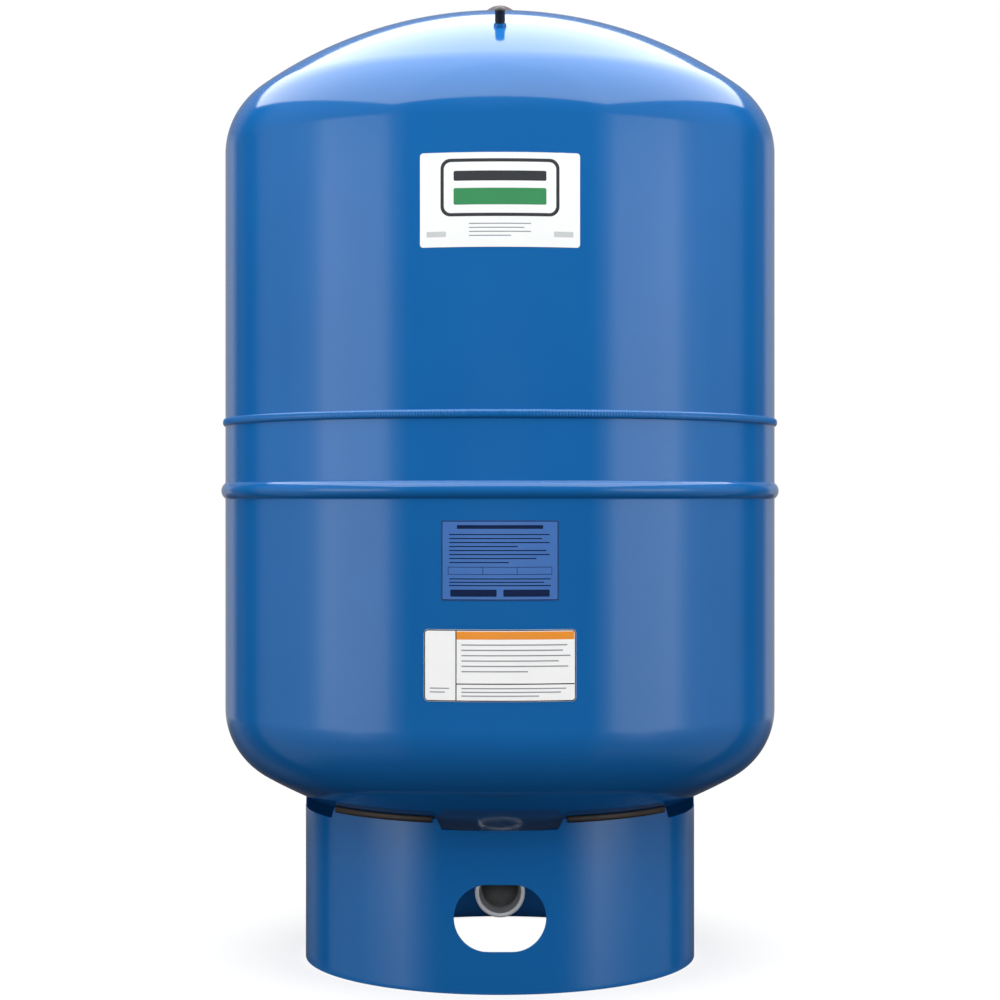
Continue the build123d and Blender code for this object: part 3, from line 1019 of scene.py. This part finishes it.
    def seam_weld(self) -> None:
        """Make the back seam's weld, with the ripples that the torch left."""
        low, high = corner_mm("stand_seam_weld", 0).z, corner_mm("stand_seam_weld", 1).z
        steps = round((high - low) / self.seam_ripple * RIPPLE_STEPS)
        inside, gap = self.radius - self.wall, self.seam_gap / 2
        rings = []
        for step in range(steps + 1):
            z = low + (high - low) * step / steps
            ring = []
            for across in (-1 + number / 4 for number in range(9)):
                swell = 1 - across**2
                bow = self.seam_ripple_bow * across**2
                phase = math.tau * (z - low) / self.seam_ripple - bow
                ripple = self.seam_ripple_height * swell * (0.5 + 0.5 * math.cos(phase))
                bump = (self.seam_weld_proud - self.seam_ripple_height) * swell + ripple
                x = across * self.seam_weld_width / 2
                ring.append((x, math.sqrt(self.radius**2 - x**2) + bump, z))
            rings.append([*ring, (gap, inside, z), (-gap, inside, z)])
        weld = sweep(rings, closed=False)
        weld.piece("rippled_seam_weld", BLUE_POWDER_COAT, stands_for="stand_seam_weld", crease=60)


def weld_points(thing: bpy.types.Object) -> None:
    """Merge a piece's points that lie in the same place.

    Args:
        thing: the piece.
    """
    work = bmesh.new()
    work.from_mesh(thing.data)
    bmesh.ops.remove_doubles(work, verts=work.verts, dist=0.001 * MM)
    bmesh.ops.recalc_face_normals(work, faces=work.faces)
    work.to_mesh(thing.data)
    work.free()


def soften(thing: bpy.types.Object, size: float) -> None:
    """Round a piece's cut edges, as tumbling and paint leave them.

    Args:
        thing: the piece.
        size: how far the rounding reaches from the edge.
    """
    bevel = thing.modifiers.new("rounded edges", "BEVEL")
    bevel.width = size * MM
    bevel.segments = 2
    bevel.limit_method = "ANGLE"
    bevel.angle_limit = math.radians(50)
    bevel.harden_normals = True


@dataclass
class EdgeStrips:
    """The rubber channels on the stand's lands: bulging sides, and a web that carries the vessel.

    play is the gap to the stand and the vessel. fullness and squareness shape the bulge.
    """

    lands: int = 5
    land_angle: float = 37.0
    end_gap: float = 4.3
    wall: float = 2.0
    side: float = 2.0
    skirt: float = 4.1
    web: float = 1.3
    crown: float = 487.25
    play: float = 0.02
    fullness: float = 0.6
    squareness: float = 0.9
    steps: int = 30

    def __post_init__(self) -> None:
        """Read the places that the frame gives."""
        stand = corner_mm("stand", 1)
        self.outside, self.inside, self.top = stand.x, stand.x - self.wall, stand.z
        self.centre_z = self.top + self.web + math.sqrt(self.crown**2 - self.inside**2)

    def build(self) -> None:
        """Make the five strips."""
        section = self.section()
        reach = self.land_angle - 2 * math.degrees(self.end_gap / self.outside)
        shares = [step / self.steps - 0.5 for step in range(self.steps + 1)]
        for number in range(self.lands):
            middle = 360 / self.lands * (number - 0.5)
            rings = [turned(section, math.radians(middle + reach * share)) for share in shares]
            node = f"edge_trim_{number + 1}"
            strip = sweep(rings, closed=False)
            strip.piece(f"edge_strip_{number + 1}", EPDM_STRIP, stands_for=node)

    def skin(self, radius: float) -> float:
        """Height of the vessel's skin at a radius."""
        return self.centre_z - math.sqrt(self.crown**2 - radius**2)

    def bulge(self, radius: float, way: int) -> list[Point]:
        """One side of the channel, from its lower edge up to the vessel.

        Args:
            radius: the stand's face that it lies on.
            way: 1 for the outer side, -1 for the inner.

        Returns:
            Its points.
        """
        low, high = self.top - self.skirt, self.skin(radius)
        points = []
        for angle in (math.radians(-90 + 15 * number) for number in range(13)):
            swell = max(0.0, math.cos(angle)) ** self.fullness
            rise = math.copysign(abs(math.sin(angle)) ** self.squareness, math.sin(angle))
            place = radius + way * (self.play + (self.side - self.play) * swell)
            height = (low + high) / 2 + (high - low) / 2 * rise
            points.append((place, min(height, self.skin(place) - self.play)))
        return points

    def section(self) -> list[Point]:
        """Run the channel's two sides and its groove together.

        Returns:
            Radius and height of the closed section's points.
        """
        ends = (self.inside - self.play, self.outside + self.play)
        groove = [(end, self.top + self.play) for end in ends]
        return [*self.bulge(self.outside, 1), *self.bulge(self.inside, -1)[::-1], *groove]


# Labels


@dataclass(frozen=True)
class Patch:
    """A rectangle on a label: its middle and size along the wall, its ink and its corners.

    layer says how many inks lie one over the other there, its own among them. The bare film has
    no ink.
    """

    x: float
    z: float
    width: float
    height: float
    ink: Ink | None = None
    corner: float = 0.0
    layer: int = 1

    def columns(self, middle_z: float, back: float, front: float) -> list[Column]:
        """Wrap the patch on the wall.

        Args:
            middle_z: height of the label's middle.
            back: radius of the patch's back.
            front: radius of its front.

        Returns:
            Its columns from left to right.
        """
        half, flat = self.width / 2, self.width - 2 * self.corner
        span = max(1, round(flat / LABEL_STEP))
        marks = {-half + self.corner + flat * i / span for i in range(span + 1)}
        for share in (math.sin(math.pi / 2 * i / 8) for i in range(9)):
            edge = half - self.corner + self.corner * share
            marks |= {edge, -edge}
        columns = []
        for mark in distinct(marks):
            past = max(0.0, abs(mark) - (half - self.corner))
            drop = self.corner - math.sqrt(max(0.0, self.corner**2 - past**2))
            reach = max(self.height / 2 - drop, LEAST_REACH)
            turn = (self.x + mark) / front
            side, ahead = math.sin(turn), -math.cos(turn)
            outer, inner = (front * side, front * ahead), (back * side, back * ahead)
            z = middle_z + self.z
            columns.append(Column(outer, inner, z - reach, z + reach))
        return columns


@dataclass(frozen=True)
class Label:
    """An adhesive label wrapped on the wall, with what is printed on it.

    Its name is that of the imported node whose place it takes.
    """

    name: str
    film: Finish
    width: float
    height: float
    corner: float
    patches: tuple[Patch, ...]
    film_thickness: float = 0.15
    ink_thickness: float = 0.02

    def build(self) -> None:
        """Make the film and one piece for each ink."""
        low, high = corner_mm(self.name, 0), corner_mm(self.name, 1)
        outer, middle_z = -low.y, (low.z + high.z) / 2
        whole = Patch(0, 0, self.width, self.height, corner=self.corner)
        film = Surface()
        band(film, whole.columns(middle_z, outer - self.film_thickness, outer))
        film.piece(f"{self.name}_film", self.film, stands_for=self.name, crease=50)
        inks: dict[Ink, Surface] = {}
        for patch in self.patches:
            back = outer + (patch.layer - 1) * self.ink_thickness
            columns = patch.columns(middle_z, back, back + self.ink_thickness)
            band(inks.setdefault(patch.ink, Surface()), columns)
        for ink, surface in inks.items():
            finish = ink.finish(self.film.slot)
            surface.piece(f"{self.name}_{ink.name.lower()}_print", finish, crease=50)


def rows_of_lines(
    left: float,
    top: float,
    widths: Sequence[float],
    pitch: float,
    thickness: float,
    ink: Ink,
    layer: int = 1,
) -> list[Patch]:
    """Plain bars one under the other, where a label carries its small print.

    Args:
        left: their common left end.
        top: height of the first one's middle.
        widths: the length of each.
        pitch: from one to the next.
        thickness: their height.
        ink: their ink.
        layer: how many inks lie one over the other there, theirs among them.

    Returns:
        The bars.
    """
    return [
        Patch(left + width / 2, top - pitch * i, width, thickness, ink, 0.0, layer)
        for i, width in enumerate(widths)
    ]


def framed(
    width: float, height: float, line: float, ink: Ink, ground: Ink, corner: float
) -> list[Patch]:
    """A rounded outline: a plate of ink with a smaller plate of the ground over it.

    Args:
        width: the outline's size along the wall.
        height: its height.
        line: how broad its line is.
        ink: the line's ink.
        ground: the ink inside it.
        corner: the radius of its corners.

    Returns:
        The two plates.
    """
    plate = Patch(0, 0, width - 2 * line, height - 2 * line, ground, corner - line, 2)
    return [Patch(0, 0, width, height, ink, corner), plate]


def front_label() -> Label:
    """The upper label: white, with a plain framed plate and two bars of colour.

    Returns:
        The label.
    """
    plate = [
        Patch(0, 11.0, 108, 52, Ink.CHARCOAL, 9),
        Patch(0, 11.0, 102, 46, Ink.WHITE, 6.5, 2),
        Patch(0, 21.5, 84, 9, Ink.CHARCOAL, 1.5, 3),
        Patch(0, 3.0, 84, 15, Ink.GREEN, 1.5, 3),
    ]
    rows = rows_of_lines(-28, -21.5, (56, 50, 56, 38), 3.6, 0.9, Ink.GREY)
    corners = [Patch(side * 58, -31, 18, 5, Ink.PALE_GREY, 1.0) for side in (-1, 1)]
    return Label("front_label", WHITE_VINYL, 146.3, 85.3, 3.0, (*plate, *rows, *corners))


def data_label() -> Label:
    """The middle label: a blue film with a dark outline, plain rows, a table and two blocks.

    Returns:
        The label.
    """
    width, height = 106.6, 72.3
    patches = (
        *framed(width - 0.4, height - 0.4, 0.9, Ink.NAVY, Ink.BLUE, 1.3),
        Patch(0, 30.2, 78, 3.4, Ink.NAVY, 0.0, 3),
        *rows_of_lines(-46, 23.4, (91, 84, 91, 62, 88, 91, 79, 54), 3.6, 1.0, Ink.NAVY, 3),
        *(Patch(0, z, 94, 0.5, Ink.NAVY, 0.0, 3) for z in (-6.0, -12.5)),
        *(Patch(x, -9.25, 0.5, 6.5, Ink.NAVY, 0.0, 3) for x in (-47, -15.5, 15.5, 47)),
        *rows_of_lines(-46, -16.6, (92, 86, 92), 3.0, 1.0, Ink.NAVY, 3),
        *(Patch(side * 24, -29.4, 42, 6.4, Ink.NAVY, 1.0, 3) for side in (-1, 1)),
    )
    return Label("data_label", BLUE_VINYL, width, height, 1.5, patches)


def lower_label() -> Label:
    """The lower label: white with a black outline, an orange band and plain grey rows.

    Returns:
        The label.
    """
    width, height = 139.0, 65.1
    divider, right = -39.8, width / 2 - 1.2
    middle, span = (divider + right) / 2, right - divider - 0.8
    patches = (
        *framed(width - 0.4, height - 0.4, 1.0, Ink.BLACK, Ink.BRIGHT_WHITE, 3.8),
        Patch(divider, 0, 1.0, height - 2.4, Ink.BLACK, 0.0, 3),
        Patch(middle, 27.1, span, 7.2, Ink.ORANGE, 0.0, 3),
        *rows_of_lines(divider + 5, 18.6, (96, 92, 99, 88, 97, 60), 4.8, 1.1, Ink.GREY, 3),
        Patch(middle, -16.6, span, 1.0, Ink.BLACK, 0.0, 3),
        *rows_of_lines(divider + 5, -20.6, (95, 90, 70), 3.4, 1.0, Ink.GREY, 3),
        *rows_of_lines(-64, -20.6, (18, 14), 3.4, 1.0, Ink.GREY, 3),
    )
    return Label("lower_label", BRIGHT_VINYL, width, height, 4.0, patches)


# Water inlet


def round_inlet(section: Iterable[Point], turn: float, axis_z: float) -> list[Place]:
    """Set a section in radius and Y at a turn about the inlet's axis, which is at axis_z."""
    across, up = math.cos(turn), math.sin(turn)
    return [(radius * across, y, axis_z + radius * up) for radius, y in section]


@dataclass
class InletThread:
    """The ridge of the 1-1/4 in pipe thread in the elbow's mouth."""

    pitch: float = 25.4 / 11.5
    wall: float = 21.05
    crest: float = 19.95
    depth: float = 16.0
    root_half: float = 0.95
    crest_half: float = 0.12
    inset: float = 0.3
    let_in: float = 0.05
    fade_steps: int = 20
    least_height: float = 0.05
    steps_per_turn: int = 64

    def build(self) -> None:
        """Make the ridge as one coil that fades in and out."""
        mouth = inlet_mouth()
        start = mouth.y + self.root_half + self.inset
        steps = round(self.depth / self.pitch * self.steps_per_turn)
        root, height = self.wall + self.let_in, self.wall + self.let_in - self.crest
        rings = []
        for step in range(steps + 1):
            fade = min(1.0, step / self.fade_steps, (steps - step) / self.fade_steps)
            crest = root - height * max(fade, self.least_height)
            y = start + self.pitch * step / self.steps_per_turn
            section = (
                (root, y - self.root_half),
                (root, y + self.root_half),
                (crest, y + self.crest_half),
                (crest, y - self.crest_half),
            )
            rings.append(round_inlet(section, math.tau * step / self.steps_per_turn, mouth.z))
        sweep(rings, closed=False).piece("inlet_thread", BLASTED_STAINLESS, crease=40)


@dataclass
class InletRim:
    """The round rim that the casting has about the inlet's mouth."""

    inner: float = 21.5
    outer: float = 25.15
    proud: float = 1.3
    gap: float = 0.02
    let_in: float = 0.3
    steps: int = 96

    def build(self) -> None:
        """Make the rim as a half-round ring, let into the mouth's face."""
        mouth, half = inlet_mouth(), (self.outer - self.inner) / 2
        section = []
        for angle in (math.pi * i / 12 for i in range(13)):
            radius = self.inner + half * (1 + math.cos(angle))
            section.append((radius, mouth.y + self.gap - self.proud * math.sin(angle)))
        section += [(radius, mouth.y + self.let_in) for radius in (self.inner, self.outer)]
        turns = (math.tau * step / self.steps for step in range(self.steps))
        rim = sweep((round_inlet(section, turn, mouth.z) for turn in turns), closed=True)
        rim.piece("inlet_rim", BLASTED_STAINLESS, crease=60)


# Air valve


@dataclass(frozen=True)
class ValveAxis:
    """The air valve's tilted axis, in millimetres. Heights are above the cap's pivot."""

    pivot: Vector
    along: Vector

    @classmethod
    def of_frame(cls) -> "ValveAxis":
        """Read the axis from the joint that the cap turns on."""
        joint = next(j for j in frame["record"]["behaviour"]["joints"] if j["name"] == "cap_turn")
        return cls(Vector(joint["pos_m"]) / MM, Vector(joint["axis"]).normalized())

    def at(self, height: float) -> Vector:
        """The point of the axis at a height."""
        return self.pivot + self.along * height

    def out(self, turn: float) -> Vector:
        """The way out from the axis at a turn about it."""
        right = Vector((1.0, 0.0, 0.0))
        return right * math.cos(turn) + self.along.cross(right) * math.sin(turn)


@dataclass
class CoreSpring:
    """The valve core's spring, pressed by the pin's collar. Heights are above the cap's pivot."""

    low: float = -0.6
    high: float = 3.0
    radius: float = 1.3
    wire: float = 0.17
    turns: int = 5
    steps_per_turn: int = 32
    sides: int = 10

    def build(self) -> None:
        """Make the coil on the valve's axis, from the core's foot up to the pin's collar."""
        axis = ValveAxis.of_frame()
        rise, steps = self.high - self.low - 2 * self.wire, self.turns * self.steps_per_turn
        angles = [math.tau * i / self.sides for i in range(self.sides)]
        rings = []
        for step in range(steps + 1):
            way = axis.out(math.tau * step / self.steps_per_turn)
            middle = axis.at(self.low + self.wire + rise * step / steps) + way * self.radius
            spokes = (way * math.cos(angle) - axis.along * math.sin(angle) for angle in angles)
            rings.append([tuple(middle + spoke * self.wire) for spoke in spokes])
        skin = sweep(rings, closed=False)
        coil = skin.piece("core_spring_coil", DRAWN_SPRING_WIRE, None, "valve_core_spring", 60)
        foot, head = (axis.at(height) * MM for height in (self.low, self.high))
        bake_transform(coil)


@dataclass
class RibbedCap:
    """The air valve's cap, with the fine grip ribs of its mould. Heights are above its rim.

    dome_start and roof_hole keep the skin's lines apart at the axis, in degrees and millimetres.
    """

    radius: float = 4.7
    bore: float = 4.05
    bore_chamfer: Point = (0.3, 0.9)
    length: float = 15.07
    roof: float = 1.57
    crown_height: float = 3.5
    dome_start: float = 89.8
    roof_hole: float = 0.02
    chamfer: float = 0.5
    pivot_above_rim: float = 8.3
    ribs: int = 28
    rib_depth: float = 0.22
    rib_run_out: float = 0.4
    ribs_end: float = 10.6
    steps_per_rib: int = 6

    def build(self) -> None:
        """Make the cap on its tilted axis."""
        axis = ValveAxis.of_frame()
        rim = axis.at(-self.pivot_above_rim)
        steps = self.ribs * self.steps_per_rib
        rings = []
        for turn in (math.tau * step / steps for step in range(steps)):
            way, section = axis.out(turn), self.section(0.5 - 0.5 * math.cos(turn * self.ribs))
            rings.append([tuple(rim + axis.along * z + way * radius) for radius, z in section])
        cap = sweep(rings, closed=True)
        cap.piece("ribbed_valve_cap", BLACK_POLYAMIDE, Body.CAP, "air_valve_cap", crease=60)

    def section(self, dip: float) -> list[Point]:
        """The cap's section at a place around it.

        Args:
            dip: 0 on a rib, 1 at the bottom of a groove.

        Returns:
            Radius and height of the section's points.
        """
        groove = self.radius - self.rib_depth * dip
        ribs_start = self.chamfer + self.rib_run_out
        inside = self.length - self.roof
        chamfer_in, chamfer_up = self.bore_chamfer
        dome = [
            (self.radius * across, self.length - self.crown_height * (1 - up))
            for across, up in arc((0, 0), 1.0, self.dome_start, -self.dome_start, 14)
        ]
        return [
            *dome,
            (self.radius, self.ribs_end + self.rib_run_out),
            (groove, self.ribs_end),
            (groove, ribs_start + self.rib_run_out),
            (self.radius, ribs_start),
            (self.radius, self.chamfer),
            (self.radius - self.chamfer, 0.0),
            (self.bore, 0.0),
            (self.bore, inside - chamfer_up),
            (self.bore - chamfer_in, inside),
            (self.roof_hole, inside),
        ]


# Studio

# How bright the studio's walls and floor are in a mirror image, as degrees from the front and
# brightness: a dim front, a strip softbox to each side, the side walls, a dark corner, and the
# backdrop.
WALLS_AT_EYE_LEVEL = (
    (30, 0.02), (33, 0.0), (37.5, 0.0), (41, 0.36), (43.5, 0.6), (46.5, 1.42), (49.5, 1.74),
    (58, 1.74), (74.5, 1.85), (79, 1.1), (84, 0.6), (95, 0.42), (110, 0.33), (116, 0.2),
    (121, 0.0), (129, 0.0), (132, 0.06), (139.5, 0.08), (143, 0.28), (147, 0.48), (158, 0.36),
)
WALLS_ABOVE = (
    (37, 0.02), (44, 0.28), (65, 0.3), (95, 0.34), (108, 0.28), (118, 0.16), (125, 0.0),
    (134, 0.0), (143, 0.2), (152, 0.25),
)
FLOOR_UNDER_STRIPS = (
    (35, 0.0), (46, 0.35), (58, 1.5), (66, 1.15), (73, 0.75), (88, 0.22), (106, 0.07), (119, 0.0),
    (126, 0.0), (133, 0.05), (143, 0.13), (150, 0.11), (158, 0.12),
)
FLOOR_AT_SIDES = (
    (36, 0.0), (48, 0.19), (95, 0.23), (110, 0.23), (117, 0.18), (121, 0.0), (126, 0.0),
    (133, 0.04), (143, 0.09), (150, 0.05), (158, 0.02),
)
# How far up and down these reach, as degrees above eye level and share.
ABOVE_SHARE = ((9.7, 0.0), (12.4, 1.0))
FLOOR_SHARE = ((-8.3, 1.0), (-6.8, 0.0))
STRIP_FLOOR_REACH = ((-24, 0.0), (-12.3, 0.5), (-10.9, 0.64), (-8.9, 1.0))
SIDE_FLOOR_REACH = ((-47, 0.0), (-41, 0.25), (-33, 1.0))


def greys(stops: Iterable[Point]) -> list[tuple[float, Colour]]:
    """Turn places and brightnesses into a colour ramp's stops."""
    return [(place, (value, value, value, 1.0)) for place, value in stops]


@dataclass(frozen=True)
class Softbox:
    """A soft rectangular lamp, aimed at a point. Metres.

    lights says whether it lights the object, and mirrored whether glossy surfaces show its image.
    spread is how far its light fans out, in degrees.
    """

    name: str
    place: Place
    aim: Place
    width: float
    height: float
    brightness: float
    lights: bool = True
    mirrored: bool = False
    spread: float = 180.0

    def build(self) -> None:
        """Make the lamp, with its brightness as a perfect mirror would show it."""
        lamp = bpy.data.lights.new(self.name, "AREA")
        lamp.shape = "RECTANGLE"
        lamp.size, lamp.size_y = self.width, self.height
        lamp.spread = math.radians(self.spread)
        lamp.energy = self.brightness * math.pi * self.width * self.height
        thing = bpy.data.objects.new(self.name, lamp)
        thing.location = self.place
        way = Vector(self.aim) - Vector(self.place)
        thing.rotation_euler = way.to_track_quat("-Z", "Y").to_euler()
        thing.visible_camera = False
        thing.visible_diffuse = self.lights
        thing.visible_glossy = self.mirrored
        bpy.context.scene.collection.objects.link(thing)
        log.info("%s: brightness %.2f", self.name, self.brightness)


@dataclass(frozen=True)
class Studio:
    """A pale studio: floor, pale surroundings, lamps and the camera. Metres."""

    camera_place: Place = (0.0, -2.2836, 0.4635)
    lens: float = 80.19
    sensor: float = 36.0
    ceiling_z: float = 1.8
    ceiling_front: float = -1.86
    ceiling_back: float = 1.4
    ceiling_half_width: float = 1.7
    image_lift: float = 0.02
    ambient: float = 0.2
    floor_size: float = 30.0
    ring_inside: float = 0.186
    ring_outside: float = 0.21
    shadow_end: float = 0.5
    shadow_share: float = 0.6
    white_from: float = 1.2
    inside_glow: float = 0.28
    inside_image: float = 0.02

    def build(self) -> None:
        """Set up the whole studio."""
        self.lamps()
        self.surroundings()
        self.floor()
        self.camera()

    def lamps(self) -> None:
        """Make the overhead lamp and the lamps in front and to each side.

        Only the overhead leaves its own mirror image, which is brighter than its light alone would
        be. The others are seen in the walls' mirror image. The port lamp hangs inside the stand,
        above the port, and lights the inlet.
        """
        middle = (self.ceiling_front + self.ceiling_back) / 2
        width, depth = 2 * self.ceiling_half_width, self.ceiling_back - self.ceiling_front
        below, image = (0.0, middle, 0.0), (0.0, middle, self.ceiling_z)
        light = (0.0, middle, self.ceiling_z + self.image_lift)
        tank, head, foot = (0.0, 0.0, 0.5), (0.0, 0.0, 0.4), (0.0, 0.0, 0.2)
        port, mouth = (0.0, -0.178, 0.138), (0.0, -0.06, 0.055)
        boxes = [
            Softbox("overhead softbox", light, below, width, depth, 2.7),
            Softbox(
                "overhead softbox image", image, below, width, depth, 3.25, lights=False,
                mirrored=True,
            ),
            Softbox("high front fill", (0.0, -3.0, 2.3), head, 2.4, 1.4, 2.1),
            Softbox("low front fill", (0.0, -3.6, 0.5), foot, 1.6, 0.7, 2.9),
            Softbox("port lamp", port, mouth, 0.09, 0.03, 3.9, spread=60.0),
        ]
        for side, name in ((-1, "left"), (1, "right")):
            strip, fill = (side * 1.99, -0.93, 0.62), (side * 3.0, -0.8, 1.1)
            boxes.append(Softbox(f"{name} strip softbox", strip, tank, 1.3, 1.15, 1.75))
            boxes.append(Softbox(f"{name} fill", fill, tank, 1.6, 1.8, 1.95))
        for box in boxes:
            box.build()

    def surroundings(self) -> None:
        """Make the world: white to the camera, grey ambient light, a dim room in mirror images."""
        world = bpy.data.worlds.new("pale studio")
        tree = new_tree(world)
        bpy.context.scene.world = world
        ambient, room, white = (
            add(tree, "Background", {"Color": linear("#ffffff"), "Strength": strength})
            for strength in (self.ambient, self.room(tree), 1.0)
        )
        ray = add(tree, "LightPath").outputs
        seen = {0: ray["Is Camera Ray"], 1: ray["Is Transmission Ray"]}
        unseen = add(tree, "MixShader", {0: ray["Is Glossy Ray"], 1: ambient, 2: room})
        inputs = {0: add(tree, "Math", seen, operation="MAXIMUM"), 1: unseen, 2: white}
        add(tree, "OutputWorld", {"Surface": add(tree, "MixShader", inputs)})

    def room(self, tree: Tree) -> Node:
        """Work out how bright the room is in each direction.

        Args:
            tree: the world's node tree.

        Returns:
            The node that gives the brightness of the walls and of the floor beneath them.
        """
        way = add(tree, "TexCoord").outputs["Generated"]
        parts = add(tree, "SeparateXYZ", {0: way}).outputs
        steep = add(tree, "Math", {0: parts["Z"], 1: parts["Z"]}, operation="MULTIPLY")
        flat = add(tree, "Math", {0: 1.0, 1: steep}, operation="SUBTRACT")
        level = add(tree, "Math", {0: flat}, operation="SQRT")
        back = add(tree, "Math", {0: parts["Y"], 1: level}, operation="DIVIDE")
        around, height = (
            add(tree, "MapRange", {"Value": value, "From Min": -1.0})
            for value in (back, parts["Z"])
        )
        eye_level, above, strip_floor, side_floor = (
            add(tree, "ValToRGB", {"Fac": around}, greys(stops))
            for stops in (
                [(0.5 - 0.5 * math.cos(math.radians(turn)), value) for turn, value in table]
                for table in (WALLS_AT_EYE_LEVEL, WALLS_ABOVE, FLOOR_UNDER_STRIPS, FLOOR_AT_SIDES)
            )
        )
        above_share, floor_share, strip_reach, side_reach = (
            add(tree, "ValToRGB", {"Fac": height}, greys(stops))
            for stops in (
                [(0.5 + 0.5 * math.sin(math.radians(rise)), share) for rise, share in table]
                for table in (ABOVE_SHARE, FLOOR_SHARE, STRIP_FLOOR_REACH, SIDE_FLOOR_REACH)
            )
        )
        strips = add(tree, "Math", {0: strip_floor, 1: strip_reach}, operation="MULTIPLY")
        sides = add(tree, "Math", {0: side_floor, 1: side_reach}, operation="MULTIPLY")
        floor = add(tree, "Math", {0: strips, 1: sides}, operation="ADD")
        walls = add(tree, "Mix", {0: above_share, 2: eye_level, 3: above})
        return add(tree, "Mix", {0: floor_share, 2: walls, 3: floor})

    def floor(self) -> None:
        """Make a wide pale floor that keeps the tank's shadow."""
        size = self.floor_size
        corners = [(-size, -size, 0), (size, -size, 0), (size, size, 0), (-size, size, 0)]
        mesh = bpy.data.meshes.new("pale floor")
        mesh.from_pydata(corners, [], [(0, 1, 2, 3)])
        mesh.materials.append(self.floor_paper())
        floor = bpy.data.objects.new("pale floor", mesh)
        bpy.context.scene.collection.objects.link(floor)

    def floor_paper(self) -> bpy.types.Material:
        """Make white paper with the tank's shadow, dim as a light, and gone in mirror images; under
        the tank it glows as painted light.

        Returns:
            The floor's material.
        """
        material = bpy.data.materials.new("matt white paper")
        tree = new_tree(material)
        ray = add(tree, "LightPath").outputs
        glossy, white = ray["Is Glossy Ray"], linear("#ffffff")
        place = add(tree, "TexCoord").outputs["Object"]
        reach = add(tree, "VectorMath", {0: place}, operation="LENGTH").outputs["Value"]
        dim = add(tree, "BsdfDiffuse", {"Color": linear("#595959")})
        paper = add(tree, "BsdfDiffuse", {"Color": linear("#f2f2f2")})
        glow = add(tree, "Emission", {"Color": white, "Strength": 1.0})
        gone = add(tree, "BsdfTransparent")
        # The ramp runs over 2 m: white under the tank, shaded around it, and white further out.
        along = add(tree, "Math", {0: reach, 1: 2.0}, operation="DIVIDE")
        stops = (
            (self.ring_inside, 1.0),
            (self.ring_outside, self.shadow_share),
            (self.shadow_end, self.shadow_share),
            (self.white_from, 1.0),
        )
        glare = add(tree, "ValToRGB", {"Fac": along}, greys((at / 2, value) for at, value in stops))
        far = add(tree, "Math", {0: reach, 1: self.ring_outside}, operation="GREATER_THAN")
        mirrored = add(tree, "MixShader", {0: far, 1: dim, 2: gone})
        open_floor = add(tree, "MixShader", {0: glossy, 1: dim, 2: mirrored})
        # Painted light: inside the ring the floor glows, lighting the stand's inside and the inlet
        # where no lamp is, and it shows dimly in mirror images.
        inside = add(tree, "Math", {0: reach, 1: self.ring_inside}, operation="LESS_THAN")
        strength = add(tree, "Mix", {0: glossy, 2: self.inside_glow, 3: self.inside_image})
        lit = add(tree, "Emission", {"Color": white, "Strength": strength})
        unseen = add(tree, "MixShader", {0: inside, 1: open_floor, 2: lit})
        seen = {0: ray["Is Camera Ray"], 1: ray["Is Transmission Ray"]}
        shown = add(tree, "MixShader", {0: glare, 1: paper, 2: glow})
        inputs = {0: add(tree, "Math", seen, operation="MAXIMUM"), 1: unseen, 2: shown}
        add(tree, "OutputMaterial", {"Surface": add(tree, "MixShader", inputs)})
        return material

    def camera(self) -> None:
        """Set up the photograph's camera: level, straight from the front."""
        lens = bpy.data.cameras.new("camera")
        lens.lens, lens.sensor_width = self.lens, self.sensor
        camera = bpy.data.objects.new("camera", lens)
        camera.location = self.camera_place
        camera.rotation_euler = (math.pi / 2, 0.0, 0.0)
        bpy.context.scene.collection.objects.link(camera)
        bpy.context.scene.camera = camera


def main() -> None:
    """Dress the tank and set up its studio."""
    logging.basicConfig(level=logging.INFO, format="%(name)s: %(message)s")
    dress_frame()
    labels = (front_label(), data_label(), lower_label())
    inlet, valve = (InletThread(), InletRim()), (CoreSpring(), RibbedCap())
    for part in (Vessel(), Stand(), EdgeStrips(), *labels, *inlet, *valve):
        part.build()
    Studio().build()
    bpy.context.scene.view_settings.view_transform = "Standard"


if __name__ == "__main__":
    main()
